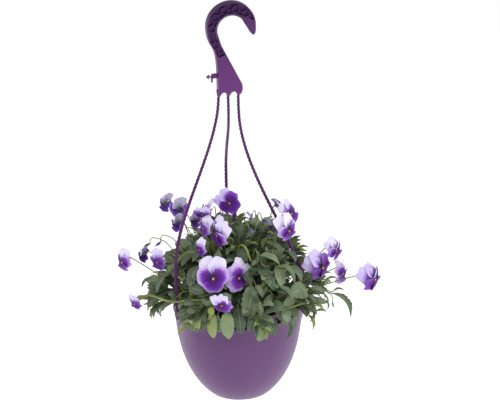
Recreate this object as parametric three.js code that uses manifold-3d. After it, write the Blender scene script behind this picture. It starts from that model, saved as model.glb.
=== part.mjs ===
// A hanging basket of horned violas, in millimetres, +Z up.
// The origin is the seat of the hook, where it bears on a rail; the pot hangs below it on the Z axis.
// The front is -Y. An azimuth is counted in degrees from the front towards +X.
// Pieces: a bowl-shaped pot with three lugs, a grow liner with soil in it, a hanger of one hook and
// three strands, and the plants: leafy shoots, and flowers on stalks of their own.
import * as THREE from "three";
import { mergeVertices } from "three/addons/utils/BufferGeometryUtils.js";
import Module from "manifold-3d";

const wasm = await Module();
wasm.setup();

// ---- Driving dimensions ----------------------------------------------------------------------
const GAP = 0.3; // between pieces that touch
const HANGER_DROP = 461; // from the hook's seat down to the pot's rim
const POT_HEIGHT = 139;
const RIM_RADIUS = 99;
const BOWL_RADIUS = 96; // of the near-ellipse that the bowl's side follows
const BOWL_DEPTH = 154; // its half height
const BOWL_FULLNESS = 2.1; // its exponent: 2 is an ellipse, more is fuller
const POT_WALL = 2.4;
const FLARE_HEIGHT = 17; // the top of the wall that leans out to the rim
const POT_SEGMENTS = 48;

const LUG_AZIMUTHS = { right: 74, left: -53, back: 187 };
const LUG_RISE = 24; // a lug's tip above the rim
const LUG_REACH = 12; // and outside it
const LUG_HALF_ANGLE = 19; // degrees
const LUG_ROOT = 30; // how far below the rim the lug starts to lean out
const LUG_WINDOW = { width: 6.6, height: 14.5, below_tip: 3.6 };

const LINER_RISE = 14; // the liner's lip above the pot's rim
const LINER_RADIUS = 89;
const LINER_LIP_RADIUS = 93.5;
const LINER_WALL = 1.8;
const SOIL_BELOW_LIP = 15;
const LATHE_SEGMENTS = 36;

const RIM_Z = -HANGER_DROP;
const BASE_Z = RIM_Z - POT_HEIGHT;
const SOIL_Z = RIM_Z + LINER_RISE - SOIL_BELOW_LIP;

const rad = THREE.MathUtils.degToRad;
const smooth = THREE.MathUtils.smoothstep;

// ---- Materials -------------------------------------------------------------------------------
const plastic = (color, roughness) => new THREE.MeshStandardMaterial({ color, roughness, metalness: 0 });
const POT_PLASTIC = plastic("#73557e", 0.35);
const HANGER_PLASTIC = plastic("#5f3a6b", 0.4);
const SOIL_STUFF = plastic("#2b1f16", 1);
const LEAF_GREEN = plastic("#4f6540", 0.6);
const PETAL_VIOLET = plastic("#5b1f8c", 0.6);

// ---- Helpers ---------------------------------------------------------------------------------

/** A closed geometry as a solid for cutting and joining. */
function solidOf(geometry) {
  const bare = geometry.index ? geometry.toNonIndexed() : geometry.clone();
  bare.deleteAttribute("normal");
  bare.deleteAttribute("uv");
  const merged = mergeVertices(bare, 1e-3);
  return new wasm.Manifold(
    new wasm.Mesh({
      numProp: 3,
      vertProperties: merged.attributes.position.array,
      triVerts: new Uint32Array(merged.index.array),
    }),
  );
}

/** A solid as a geometry that a mesh can show. */
function geometryOf(solid) {
  const { vertProperties, triVerts, numProp, numVert } = solid.getMesh();
  const points = new Float32Array(numVert * 3);
  for (let i = 0; i < numVert; i++) points.set(vertProperties.subarray(i * numProp, i * numProp + 3), i * 3);
  const geometry = new THREE.BufferGeometry();
  geometry.setAttribute("position", new THREE.BufferAttribute(points, 3));
  geometry.setIndex(new THREE.BufferAttribute(triVerts, 1));
  geometry.computeVertexNormals();
  return geometry;
}

const joined = (solids) => solids.reduce((whole, solid) => whole.add(solid));

/** The point at an azimuth, a distance from the pot's axis and a height. */
function polar(azimuth, radius, z) {
  return new THREE.Vector3(radius * Math.sin(rad(azimuth)), -radius * Math.cos(rad(azimuth)), z);
}

/** A unit vector at an azimuth and an elevation above the horizon. */
function heading(azimuth, elevation) {
  return polar(azimuth, Math.cos(rad(elevation)), Math.sin(rad(elevation)));
}

/** A regular polygon to sweep along a path. */
function section(radius, sides) {
  const corner = (_, i) => {
    const turn = (2 * Math.PI * i) / sides;
    return new THREE.Vector2(radius * Math.cos(turn), radius * Math.sin(turn));
  };
  return new THREE.Shape(Array.from({ length: sides }, corner));
}

/** A round rod of one thickness through some points. */
function rod(points, radius, sides, steps) {
  const extrudePath = new THREE.CatmullRomCurve3(points, false, "centripetal");
  return solidOf(new THREE.ExtrudeGeometry(section(radius, sides), { steps, extrudePath, bevelEnabled: false }));
}

/** A profile of [radius, height] pairs turned about the Z axis. */
function turned(profile, segments) {
  const points = profile.map(([radius, z]) => new THREE.Vector2(radius, z));
  return new THREE.LatheGeometry(points, segments).rotateX(Math.PI / 2);
}

// ---- Pot: one moulding, a bowl whose rim rises into three lugs ----------------------------------

/** The radius at a height above the base, on the near-ellipse that a bowl's side follows. */
function bowlRadius(radius, height) {
  return radius * (1 - ((POT_HEIGHT - height) / BOWL_DEPTH) ** BOWL_FULLNESS) ** (1 / BOWL_FULLNESS);
}

/** How much of a lug stands at an azimuth: 1 on its middle, 0 beside it. */
function lugShare(azimuth) {
  const off = Object.values(LUG_AZIMUTHS).map((lug) => Math.abs(((azimuth - lug + 540) % 360) - 180));
  return 1 - smooth(Math.min(...off), LUG_HALF_ANGLE * 0.3, LUG_HALF_ANGLE);
}

/** Draws the wall out and up where the lugs stand. */
function raiseLugs(geometry) {
  const place = geometry.attributes.position;
  for (let i = 0; i < place.count; i++) {
    const [x, y, z] = [place.getX(i), place.getY(i), place.getZ(i)];
    const share = lugShare(THREE.MathUtils.radToDeg(Math.atan2(x, -y))) * smooth(z, RIM_Z - LUG_ROOT, RIM_Z);
    const outward = 1 + (LUG_REACH * share) / Math.max(Math.hypot(x, y), 1);
    place.setXYZ(i, x * outward, y * outward, z + LUG_RISE * share);
  }
  return geometry;
}

/** A window through a lug's wall, for the foot of a strand. */
function lugWindow(azimuth) {
  const { width, height, below_tip } = LUG_WINDOW;
  const depth = 30;
  const cutter = new THREE.BoxGeometry(width, depth, height);
  cutter.rotateZ(rad(azimuth));
  const middle = polar(azimuth, RIM_RADIUS + LUG_REACH / 2, RIM_Z + LUG_RISE - below_tip - height / 2);
  return solidOf(cutter.translate(...middle));
}

function pot() {
  const heights = [0.8, 5, 13, 25, 42, 64, 90, POT_HEIGHT - FLARE_HEIGHT];
  const side = heights.map((height) => [bowlRadius(BOWL_RADIUS, height), BASE_Z + height]);
  const lean = [0.35, 0.7, 1].map((share) => [
    THREE.MathUtils.lerp(side.at(-1)[0], RIM_RADIUS, share),
    RIM_Z - FLARE_HEIGHT * (1 - share),
  ]);
  const outside = [[0, BASE_Z], [side[0][0] - 1, BASE_Z], ...side, ...lean];
  const inside = [...lean, ...side.slice(1)]
    .sort((a, b) => b[1] - a[1])
    .map(([radius, z]) => [radius - POT_WALL, z])
    .filter(([, z]) => z > BASE_Z + POT_WALL);
  const floor = [
    [bowlRadius(BOWL_RADIUS, POT_WALL) - POT_WALL - 1, BASE_Z + POT_WALL],
    [0, BASE_Z + POT_WALL],
  ];
  const shell = raiseLugs(turned([...outside, ...inside, ...floor], POT_SEGMENTS));
  return Object.values(LUG_AZIMUTHS).reduce((solid, azimuth) => solid.subtract(lugWindow(azimuth)), solidOf(shell));
}

// ---- Liner: the pot that the violas grew in, standing inside ------------------------------------

const LINER_FLOOR_Z = BASE_Z + POT_WALL + GAP;
const DRAIN = { radius: 5, ring: 26, count: 5 };

function linerSide(inset) {
  const heights = [14, 30, 54, 88, POT_HEIGHT];
  return heights.map((height) => [bowlRadius(LINER_RADIUS, height) - inset, BASE_Z + height]);
}

function liner() {
  const lipZ = RIM_Z + LINER_RISE;
  const footRadius = bowlRadius(LINER_RADIUS, 4) - 1.5;
  const outside = [[0, LINER_FLOOR_Z], [footRadius, LINER_FLOOR_Z], ...linerSide(0)];
  const lip = [
    [LINER_RADIUS + 0.8, lipZ - 4],
    [LINER_LIP_RADIUS, lipZ - 3.2],
    [LINER_LIP_RADIUS, lipZ],
    [LINER_RADIUS + 0.8 - LINER_WALL, lipZ],
  ];
  const inside = [
    ...linerSide(LINER_WALL).reverse(),
    [footRadius - LINER_WALL, LINER_FLOOR_Z + LINER_WALL],
    [0, LINER_FLOOR_Z + LINER_WALL],
  ];
  let shell = solidOf(turned([...outside, ...lip, ...inside], LATHE_SEGMENTS));
  for (let i = 0; i < DRAIN.count; i++) {
    const hole = new THREE.CylinderGeometry(DRAIN.radius, DRAIN.radius, 12, 12).rotateX(Math.PI / 2);
    shell = shell.subtract(solidOf(hole.translate(...polar((360 / DRAIN.count) * i, DRAIN.ring, LINER_FLOOR_Z))));
  }
  return shell;
}

/** The root ball and potting soil, filling the liner to a little below its lip. */
function soil() {
  const side = linerSide(LINER_WALL + GAP).filter(([, z]) => z < SOIL_Z);
  const floorZ = LINER_FLOOR_Z + LINER_WALL + GAP;
  const footRadius = bowlRadius(LINER_RADIUS, 4) - 1.5 - LINER_WALL - GAP;
  const topRadius = bowlRadius(LINER_RADIUS, SOIL_Z - BASE_Z) - LINER_WALL - GAP;
  return solidOf(turned([[0, floorZ], [footRadius, floorZ], ...side, [topRadius, SOIL_Z], [0, SOIL_Z]], LATHE_SEGMENTS));
}

// ---- Hook: the flat head of the hanger, with honeycomb pockets on both faces --------------------
// It is drawn in its own plane, X to the right and Y up, with its seat at the origin.

const HOOK_DEPTH = 12;
const HOOK_TURN = 15; // degrees about the pot's axis
const HOOK_FLANGE = 2;
const POCKET_DEPTH = 4.4;
const HOOK_BEND = { inner: 21.5, outer: 37.3, outerX: -0.7, outerY: -15.8 };
const SHOULDER_BOTTOM = -122;
const STRAND_TOPS = { left: -21.6, back: -7.2, right: 8.4 }; // where the strands leave the shoulder
const ARCH_RADIUS = 5.1;

/** The hook's outline, taken in by inset all round. */
function hookOutline(inset) {
  const { inner, outer, outerX, outerY } = HOOK_BEND;
  const shape = new THREE.Shape();
  const shoulderZ = SHOULDER_BOTTOM + 4 + inset;
  shape.moveTo(-22.9 + inset, shoulderZ);
  shape.lineTo(-22.9 + inset, -88);
  shape.bezierCurveTo(-22.9 + inset, -67, -25 + inset, -54, -31 + inset, -45);
  shape.bezierCurveTo(-35.5 + inset, -37, -38 + inset, -28, -38 + inset, outerY);
  shape.absarc(outerX, outerY, outer - inset, Math.PI, 0, true);
  shape.lineTo(36.6 - inset, -25.5);
  shape.quadraticCurveTo(36.2 - inset, -32 + inset, 31.8, -32.2 + inset * 1.5);
  shape.lineTo(21.2 + inset, -13);
  shape.absarc(0, -inner, inner + inset, rad(23), rad(195), false);
  shape.lineTo(-16.8 - inset, -43);
  shape.lineTo(13.9 - inset, -107);
  shape.lineTo(14.4 - inset, shoulderZ);
  return shape;
}

/** A flat shape as a plate that is centred on the hook's plane. */
function plate(shape, thickness, middle = 0, curveSegments = 12) {
  const geometry = new THREE.ExtrudeGeometry(shape, { depth: thickness, bevelEnabled: false, curveSegments });
  return solidOf(geometry.translate(0, 0, middle - thickness / 2));
}

/** Points down the middle of the hook's band, from near its tip to the neck, at an even pitch. */
function honeycombCentres() {
  const onBend = [42, 76, 110, 144, 178].map((angle) => [
    29.6 * Math.cos(rad(angle)) - 0.4,
    29.6 * Math.sin(rad(angle)) - 18.6,
  ]);
  return [...onBend, [-25.5, -43]];
}

/** The ribs that stand in the pockets: hexagon rings joined by short webs. */
function honeycombRibs() {
  const centres = honeycombCentres();
  const ringRadius = 6.4;
  const web = 1.3;
  const ribs = [];
  centres.forEach(([x, y], i) => {
    const [nextX, nextY] = centres[Math.min(i + 1, centres.length - 1)];
    const [lastX, lastY] = centres[Math.max(i - 1, 0)];
    const along = Math.atan2(nextY - lastY, nextX - lastX);
    const hexagon = (radius) => new THREE.CylinderGeometry(radius, radius, HOOK_DEPTH, 6).rotateX(Math.PI / 2);
    const ring = [hexagon(ringRadius), hexagon(ringRadius - web)].map((cell) =>
      solidOf(cell.rotateZ(along + Math.PI / 2).translate(x, y, 0)),
    );
    ribs.push(ring[0].subtract(ring[1]));
    if (i === centres.length - 1) return;
    const span = Math.hypot(nextX - x, nextY - y);
    const bar = new THREE.BoxGeometry(span - 2 * ringRadius + web, web, HOOK_DEPTH);
    const turn = Math.atan2(nextY - y, nextX - x);
    ribs.push(solidOf(bar.rotateZ(turn).translate((x + nextX) / 2, (y + nextY) / 2, 0)));
  });
  return joined(ribs);
}

/** The hollow between the flanges, on the bend and the neck only. */
function pocketRegion() {
  const { outer, outerX, outerY } = HOOK_BEND;
  const bend = new THREE.Shape();
  bend.moveTo(outerX, outerY);
  bend.lineTo(24, 0);
  bend.absarc(outerX, outerY, outer + 4, rad(32), rad(200), false);
  bend.lineTo(-31, -60);
  bend.lineTo(-12, -55);
  return bend;
}

/** The peg at the shoulder's side that holds a plant label: a block, a catch and a barbed pin. */
function labelPeg() {
  const thickness = 3.4;
  const bar = (x0, x1, y0, y1) =>
    solidOf(new THREE.BoxGeometry(x1 - x0, y1 - y0, thickness).translate((x0 + x1) / 2, (y0 + y1) / 2, 0));
  const barb = new THREE.Shape();
  barb.moveTo(-40, -92.1);
  barb.lineTo(-35.1, -96);
  barb.lineTo(-36.1, -92.1);
  barb.lineTo(-35.1, -88.2);
  const bars = [bar(-31.5, -22, -94.8, -87.8), bar(-32.5, -30.1, -100.8, -89.8), bar(-37.5, -30.5, -92.8, -91.4)];
  return joined([...bars, plate(barb, thickness)]);
}

/** The hook stands in the XZ plane, turned about the pot's axis. */
function standHook(solid) {
  const upright = geometryOf(solid).rotateX(Math.PI / 2);
  return solidOf(upright.rotateZ(rad(HOOK_TURN)));
}

function hook() {
  const body = plate(hookOutline(0), HOOK_DEPTH);
  const region = plate(pocketRegion(), HOOK_DEPTH);
  const hollow = plate(hookOutline(HOOK_FLANGE), POCKET_DEPTH + 2).intersect(region).subtract(honeycombRibs());
  const lift = HOOK_DEPTH / 2 - POCKET_DEPTH / 2 + 1;
  const pockets = [lift, -lift].map((z) => hollow.translate(0, 0, z));
  const tops = [STRAND_TOPS.left, STRAND_TOPS.back, STRAND_TOPS.right];
  const bosses = tops.map((x) => {
    const boss = new THREE.CylinderGeometry(3.6, 2.6, 8, 10);
    return solidOf(boss.translate(x, SHOULDER_BOTTOM + 4, 0));
  });
  return standHook(pockets.reduce((solid, pocket) => solid.subtract(pocket), joined([body, labelPeg(), ...bosses])));
}

// ---- Strands: three cable-twisted rods, each ending in a barbed foot in a lug's window ----------

const STRAND_RADIUS = 2.4;
const STRAND_STEPS = 18;
/** Where along its drop each strand starts and stops swinging out to the pot. */
const STRAND_SWING = { left: [-0.01, 0.79], right: [0.08, 1.15], back: [0.07, 0.52] };
const FOOT_REACH = RIM_RADIUS + LUG_REACH + STRAND_RADIUS + 1.2; // outside a lug's face
const FOOT_TIP = 5.7; // above the rim

function strandTop(side) {
  const along = STRAND_TOPS[side];
  return new THREE.Vector3(along * Math.cos(rad(HOOK_TURN)), along * Math.sin(rad(HOOK_TURN)), SHOULDER_BOTTOM - GAP);
}

/** A strand's route: down from the shoulder and out to the outer face of its lug. */
function strandPath(side) {
  const top = strandTop(side);
  const foot = polar(LUG_AZIMUTHS[side], FOOT_REACH, RIM_Z + FOOT_TIP + 15);
  const [start, stop] = STRAND_SWING[side];
  return Array.from({ length: 14 }, (_, i) => {
    const drop = i / 13;
    const swing = smooth(drop, start, stop) / smooth(1, start, stop);
    return new THREE.Vector3().lerpVectors(top, foot, swing).setZ(THREE.MathUtils.lerp(top.z, foot.z, drop));
  });
}

/** The arrow-shaped foot outside the lug, and the headed pin behind it that holds in the window. */
function strandFoot(azimuth) {
  const arrow = new THREE.Shape();
  arrow.moveTo(-2.4, 19);
  arrow.lineTo(-2.4, 13);
  arrow.lineTo(-4.4, 11.5);
  arrow.lineTo(-3.6, 6);
  arrow.lineTo(0, 0);
  arrow.lineTo(3.6, 6);
  arrow.lineTo(4.4, 11.5);
  arrow.lineTo(2.4, 13);
  arrow.lineTo(2.4, 19);
  const outside = new THREE.ExtrudeGeometry(arrow, { depth: 3.4, bevelEnabled: false });
  const pin = new THREE.BoxGeometry(3, 9.6, 3).translate(0, 5.1, 9.5);
  const head = new THREE.BoxGeometry(5.4, 2, 6).translate(0, 10.8, 9.5);
  const foot = joined([solidOf(outside.translate(0, 0, -1.7).rotateX(Math.PI / 2)), solidOf(pin), solidOf(head)]);
  const standing = geometryOf(foot).rotateZ(rad(azimuth));
  return solidOf(standing.translate(...polar(azimuth, FOOT_REACH, RIM_Z + FOOT_TIP)));
}

function strand(side) {
  return rod(strandPath(side), STRAND_RADIUS, 6, STRAND_STEPS).add(strandFoot(LUG_AZIMUTHS[side]));
}

// ---- Plants ----------------------------------------------------------------------------------

/** Flowers: where each stands [azimuth, reach from the axis, height above the rim], the way that it
 *  faces [azimuth, elevation], and how wide it is. */
const FLOWERS = [
  { at: [-83, 174, 83], faces: [-50, -8], size: 34 },
  { at: [-98, 144, 78], faces: [-105, -15], size: 28 },
  { at: [-72, 126, 89], faces: [-35, -22], size: 34 },
  { at: [-74, 162, 24], faces: [-70, -45], size: 22 },
  { at: [-115, 120, 148], faces: [-150, -20], size: 28 },
  { at: [-109, 92, 147], faces: [-165, -22], size: 32 },
  { at: [-97, 91, 131], faces: [172, -15], size: 26 },
  { at: [-115, 70, 128], faces: [-110, -5], size: 28 },
  { at: [-90, 42, 153], faces: [-30, -12], size: 32 },
  { at: [-165, 76, 104], faces: [-170, 0], size: 38 },
  { at: [-42, 15, 170], faces: [8, 6], size: 40 },
  { at: [-176, 34, 134], faces: [70, -5], size: 22 },
  { at: [-51, 63, 142], faces: [-72, -10], size: 32 },
  { at: [-26, 64, 137], faces: [-96, -18], size: 46 },
  { at: [-40, 86, 118], faces: [-75, -25], size: 28 },
  { at: [-19, 109, 87], faces: [-4, 8], size: 52 },
  { at: [2, 80, 77], faces: [38, 2], size: 42 },
  { at: [-11, 124, 51], faces: [-6, -40], size: 36 },
  { at: [150, 48, 122], faces: [100, -5], size: 22 },
  { at: [123, 80, 142], faces: [125, 5], size: 24 },
  { at: [110, 58, 121], faces: [-160, 0], size: 26 },
  { at: [94, 83, 144], faces: [80, 12], size: 36 },
  { at: [60, 91, 137], faces: [62, -15], size: 40 },
  { at: [96, 151, 78], faces: [100, -20], size: 34 },
  { at: [80, 130, 67], faces: [48, -12], size: 46 },
  { at: [94, 160, 43], faces: [75, -10], size: 30 },
  { at: [87, 207, 41], faces: [62, -14], size: 44 },
  { at: [148, 118, 66], faces: [150, 0], size: 44 },
  { at: [192, 128, 46], faces: [185, -10], size: 48 },
  { at: [-146, 126, 56], faces: [-140, 0], size: 44 },
];

/** Shoots, in rings: how many, the first azimuth, root and tip distance from the axis, tip height. */
const SHOOT_RINGS = [
  { count: 8, first: 14, root: 70, reach: 140, height: 12 },
  { count: 6, first: 38, root: 46, reach: 92, height: 66 },
  { count: 4, first: 8, root: 20, reach: 34, height: 98 },
];
const LEAVES_ON_SHOOT = 6;
const LEAF = { length: 46, width: 24, thickness: 1.3 };
const STALK_RADIUS = 1.3;
const STEM_RADIUS = 1.7;
const STEM_STEPS = 7;

/** The five-lobed face of a flower, seen from the front. */
function corollaOutline(size) {
  const lobe = (_, i) => {
    const turn = (2 * Math.PI * i) / 10 - Math.PI / 2;
    const radius = (size / 2) * (i % 2 ? 0.8 : 1);
    return new THREE.Vector2(radius * Math.cos(turn), radius * Math.sin(turn) * 1.08);
  };
  return new THREE.Shape(Array.from({ length: 10 }, lobe));
}

/** Turns local X and Z to two directions and moves the origin to a point. */
function framed(geometry, origin, x, z) {
  const side = new THREE.Vector3().crossVectors(z, x).normalize();
  const up = new THREE.Vector3().crossVectors(x, side).normalize();
  return geometry.applyMatrix4(new THREE.Matrix4().makeBasis(x, side, up).setPosition(origin));
}

/** A flower's face as a plate, at its place. */
function corolla({ at: [azimuth, reach, height], faces: [turn, lift], size }) {
  const face = heading(turn, lift);
  const across = new THREE.Vector3().crossVectors(new THREE.Vector3(0, 0, 1), face).normalize();
  const geometry = new THREE.ExtrudeGeometry(corollaOutline(size), { depth: 2.4, bevelEnabled: false });
  return solidOf(framed(geometry, polar(azimuth, reach, RIM_Z + height), across, face));
}

/** A flower's stalk, from the soil to a crook behind the face, its root turned a little aside. */
function stalk({ at: [azimuth, reach, height], faces: [turn, lift] }, aside) {
  const root = polar(azimuth + aside, Math.min(12 + reach * 0.32, 56), SOIL_Z + GAP + STALK_RADIUS);
  const back = polar(azimuth, reach, RIM_Z + height);
  const face = heading(turn, lift);
  const crook = back.clone().addScaledVector(face, -11).add(new THREE.Vector3(0, 0, 5));
  const middle = new THREE.Vector3().lerpVectors(root, crook, 0.55);
  middle.z += 0.16 * crook.distanceTo(root);
  return rod([root, middle, crook, back.addScaledVector(face, 1)], STALK_RADIUS, 4, 5);
}

/** The way of a shoot's stem: up from the soil and over, towards its tip. */
function stemPoints({ root, reach, height }, azimuth) {
  const start = polar(azimuth, root, SOIL_Z + GAP + STEM_RADIUS);
  const tip = polar(azimuth, reach, RIM_Z + height);
  const middle = polar(azimuth, root + (reach - root) * 0.3, RIM_Z + 16 + height * 0.65);
  return [start, middle, tip];
}

/** A leaf as a thin curved plate that grows from a point on a stem. */
function leaf(origin, direction) {
  const { length, width, thickness } = LEAF;
  const shape = new THREE.Shape();
  shape.moveTo(-1, -1.2);
  shape.quadraticCurveTo(length * 0.5, -width, length, 0);
  shape.quadraticCurveTo(length * 0.5, width, -1, 1.2);
  const geometry = new THREE.ExtrudeGeometry(shape, { depth: thickness, bevelEnabled: false, curveSegments: 2 });
  return solidOf(framed(geometry, origin, direction, new THREE.Vector3(0, 0, 1)));
}

const placed = []; // every solid that a new leaf, stem or stalk has to grow clear of

const touches = (solid, other) => solid.intersect(other).volume() > 0;

function isClear(solid) {
  return !placed.some((other) => touches(solid, other));
}

/** The first of the candidates that grows clear of all that is there. */
function firstClear(make, offsets) {
  for (const offset of offsets) {
    const solid = make(offset);
    if (isClear(solid)) return solid;
  }
  return null;
}

const ASIDE = [0, 4, -4, 8, -8, 12, -12, 17, -17, 23, -23, 30, -30, 38, -38];

/** A stem with those of its leaves that have room. */
function shoot(ring, azimuth) {
  let turned = azimuth;
  const stem = firstClear((aside) => {
    turned = azimuth + aside;
    return rod(stemPoints(ring, turned), STEM_RADIUS, 5, STEM_STEPS);
  }, ASIDE);
  const parts = [stem];
  const joints = new THREE.CatmullRomCurve3(stemPoints(ring, turned)).getSpacedPoints(STEM_STEPS);
  for (let i = 0; i < LEAVES_ON_SHOOT; i++) {
    const joint = STEM_STEPS - LEAVES_ON_SHOOT + 1 + i;
    const origin = joints[joint].clone().lerp(joints[joint - 1], 0.15);
    const side = (i % 2 ? 1 : -1) * (78 - 70 * (i / LEAVES_ON_SHOOT));
    const lift = 26 - 10 * (i % 3);
    const grow = (aside) => leaf(origin, heading(turned + side + aside, lift));
    const found = firstClear(grow, [0, 14, -14, 28, -28]);
    if (found) parts.push(found);
  }
  return joined(parts);
}

// ---- Assembly --------------------------------------------------------------------------------

const basket = new THREE.Group();

function add(name, solid, material) {
  const mesh = new THREE.Mesh(geometryOf(solid), material);
  mesh.name = name;
  basket.add(mesh);
  placed.push(solid);
}

add("pot", pot(), POT_PLASTIC);
add("liner", liner(), POT_PLASTIC);
add("soil", soil(), SOIL_STUFF);
add("hook", hook(), HANGER_PLASTIC);
for (const side of Object.keys(STRAND_SWING)) add(`strand_${side}`, strand(side), HANGER_PLASTIC);

const numbered = (word, index) => `${word}_${String(index + 1).padStart(2, "0")}`;
const faces = FLOWERS.map(corolla);
faces.forEach((face, i) => {
  const others = faces.filter((_, k) => k !== i);
  const grow = (aside) => {
    const whole = face.add(stalk(FLOWERS[i], aside));
    return others.some((other) => touches(whole, other)) ? null : whole;
  };
  const candidates = ASIDE.map(grow).filter(Boolean);
  const whole = candidates.find(isClear);
  if (!whole) throw new Error(`no room for ${numbered("flower", i)}`);
  add(numbered("flower", i), whole, PETAL_VIOLET);
});

let shoots = 0;
for (const ring of SHOOT_RINGS) {
  for (let i = 0; i < ring.count; i++) {
    add(numbered("shoot", shoots++), shoot(ring, ring.first + (360 / ring.count) * i), LEAF_GREEN);
  }
}

export default basket;
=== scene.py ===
import math
import random

import bpy
from mathutils import Matrix, Vector


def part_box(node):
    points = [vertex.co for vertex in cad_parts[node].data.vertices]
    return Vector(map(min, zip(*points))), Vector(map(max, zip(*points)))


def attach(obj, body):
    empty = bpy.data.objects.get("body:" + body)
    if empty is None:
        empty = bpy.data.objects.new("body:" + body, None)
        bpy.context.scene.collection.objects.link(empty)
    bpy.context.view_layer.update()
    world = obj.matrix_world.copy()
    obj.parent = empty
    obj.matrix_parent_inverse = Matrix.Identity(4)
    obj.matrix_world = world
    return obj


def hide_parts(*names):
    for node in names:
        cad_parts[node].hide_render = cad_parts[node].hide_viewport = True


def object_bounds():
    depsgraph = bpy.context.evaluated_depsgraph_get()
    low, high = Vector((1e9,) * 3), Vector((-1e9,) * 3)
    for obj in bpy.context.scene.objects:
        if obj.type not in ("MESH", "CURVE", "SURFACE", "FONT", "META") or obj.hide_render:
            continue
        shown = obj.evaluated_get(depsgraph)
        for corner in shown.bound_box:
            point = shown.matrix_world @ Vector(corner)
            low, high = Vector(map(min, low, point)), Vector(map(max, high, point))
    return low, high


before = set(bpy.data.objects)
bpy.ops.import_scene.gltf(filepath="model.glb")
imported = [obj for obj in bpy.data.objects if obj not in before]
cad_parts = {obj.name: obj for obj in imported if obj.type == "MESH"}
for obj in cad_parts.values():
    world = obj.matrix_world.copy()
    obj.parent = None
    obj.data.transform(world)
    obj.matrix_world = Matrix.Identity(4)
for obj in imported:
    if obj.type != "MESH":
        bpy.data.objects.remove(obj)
cad_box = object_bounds()

# ---- Camera -------------------------------------------------------------------------------------
# A long lens well away from the basket, a little above it and looking down, held slightly out of level.
CAMERA_ELEVATION = math.radians(21)
CAMERA_DISTANCE = 5.0
CAMERA_ROLL = math.radians(-1.4)
VIEW_WIDTH = 0.750  # metres across the view at the basket
CAMERA_AIM = Vector((0.0218, 0, -0.2915))


def new_object(name, data):
    """An object with this data, in the scene."""
    made = bpy.data.objects.new(name, data)
    bpy.context.scene.collection.objects.link(made)
    return made


camera = new_object("camera", bpy.data.cameras.new("camera"))
bpy.context.scene.camera = camera
camera.data.sensor_width = 36
camera.data.lens = camera.data.sensor_width * CAMERA_DISTANCE / VIEW_WIDTH
camera.data.clip_end = 100
back_off = Vector((0, -math.cos(CAMERA_ELEVATION), math.sin(CAMERA_ELEVATION)))
look_down = Matrix.Rotation(math.pi / 2 - CAMERA_ELEVATION, 4, "X")
camera.matrix_world = (
    Matrix.Translation(CAMERA_AIM + back_off * CAMERA_DISTANCE)
    @ look_down
    @ Matrix.Rotation(CAMERA_ROLL, 4, "Z")
)

# ---- Floor and light ----------------------------------------------------------------------------
# A white studio sweep well below the hanging pot, and large soft lamps at both sides and overhead.
FLOOR_DROP = 0.45  # below the pot's foot
FLOOR_SIZE = 60
WHITE = (1, 1, 1, 1)


def srgb(red, green, blue):
    """A colour as a display shows it, from 0 to 255, as the linear values that shaders take."""
    linear = [c / 255 / 12.92 if c <= 10 else ((c / 255 + 0.055) / 1.055) ** 2.4 for c in (red, green, blue)]
    return (*linear, 1.0)


def feed(tree, node, **values):
    """Sets a node's properties and inputs by name, and links in a value that is another node's output."""
    for name, value in values.items():
        socket = name.replace("_", " ")
        if hasattr(node, name):
            setattr(node, name, value)
        elif isinstance(value, bpy.types.NodeSocket):
            tree.links.new(value, node.inputs[socket])
        else:
            node.inputs[socket].default_value = value
    return node


def add_node(tree, kind, **values):
    """A new shader node, fed with these values."""
    return feed(tree, tree.nodes.new(f"ShaderNode{kind}"), **values)


def new_material(name, roughness, **sockets):
    """A material, its node tree and its Principled shader, fed with plain values."""
    material = bpy.data.materials.new(name)
    material.use_nodes = True
    tree = material.node_tree
    return material, tree, feed(tree, tree.nodes["Principled BSDF"], Roughness=roughness, **sockets)


def select_only(*pieces):
    """Leaves these pieces selected, with the first one active."""
    bpy.ops.object.select_all(action="DESELECT")
    for piece in pieces:
        piece.select_set(True)
    bpy.context.view_layer.objects.active = pieces[0]


def joined(*pieces):
    """These pieces made one, which is the first of them."""
    select_only(*pieces)
    bpy.ops.object.join()
    return pieces[0]


def primitive(add, **settings):
    """What a primitive operator adds, alone selected, with its place moved into its mesh."""
    bpy.ops.object.select_all(action="DESELECT")
    add(**settings)
    bpy.ops.object.transform_apply(location=True, rotation=True, scale=True)
    return bpy.context.active_object


floor_z = cad_box[0][2] - FLOOR_DROP
studio_floor = primitive(bpy.ops.mesh.primitive_plane_add, size=FLOOR_SIZE, location=(0, 0, floor_z))
studio_floor.name = "studio_floor"
floor_paint, _, _ = new_material(
    "floor_paint", 0.9, Base_Color=(0.93, 0.93, 0.93, 1), Emission_Color=WHITE, Emission_Strength=0.5
)
studio_floor.data.materials.append(floor_paint)

world = bpy.data.worlds.new("studio")
bpy.context.scene.world = world
world.use_nodes = True
feed(world.node_tree, world.node_tree.nodes["Background"], Color=WHITE, Strength=0.46)

LAMPS = [  # name, place, size, watts
    ("key", (-0.9, -1.9, 1.3), 1.5, 21),
    ("right_softbox", (1.9, -0.5, 0.1), 1.6, 19),
    ("left_softbox", (-2.0, 0.3, 0.1), 1.6, 11),
    ("overhead", (0.2, 0.3, 1.9), 1.8, 13),
]
for name, place, size, watts in LAMPS:
    lamp = new_object(name, bpy.data.lights.new(name, "AREA"))
    lamp.data.shape = "DISK"
    lamp.data.size = size
    lamp.data.energy = watts
    lamp.location = place
    lamp.rotation_euler = (CAMERA_AIM - Vector(place)).to_track_quat("-Z", "Y").to_euler()

bpy.context.scene.view_settings.view_transform = "Standard"

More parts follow.
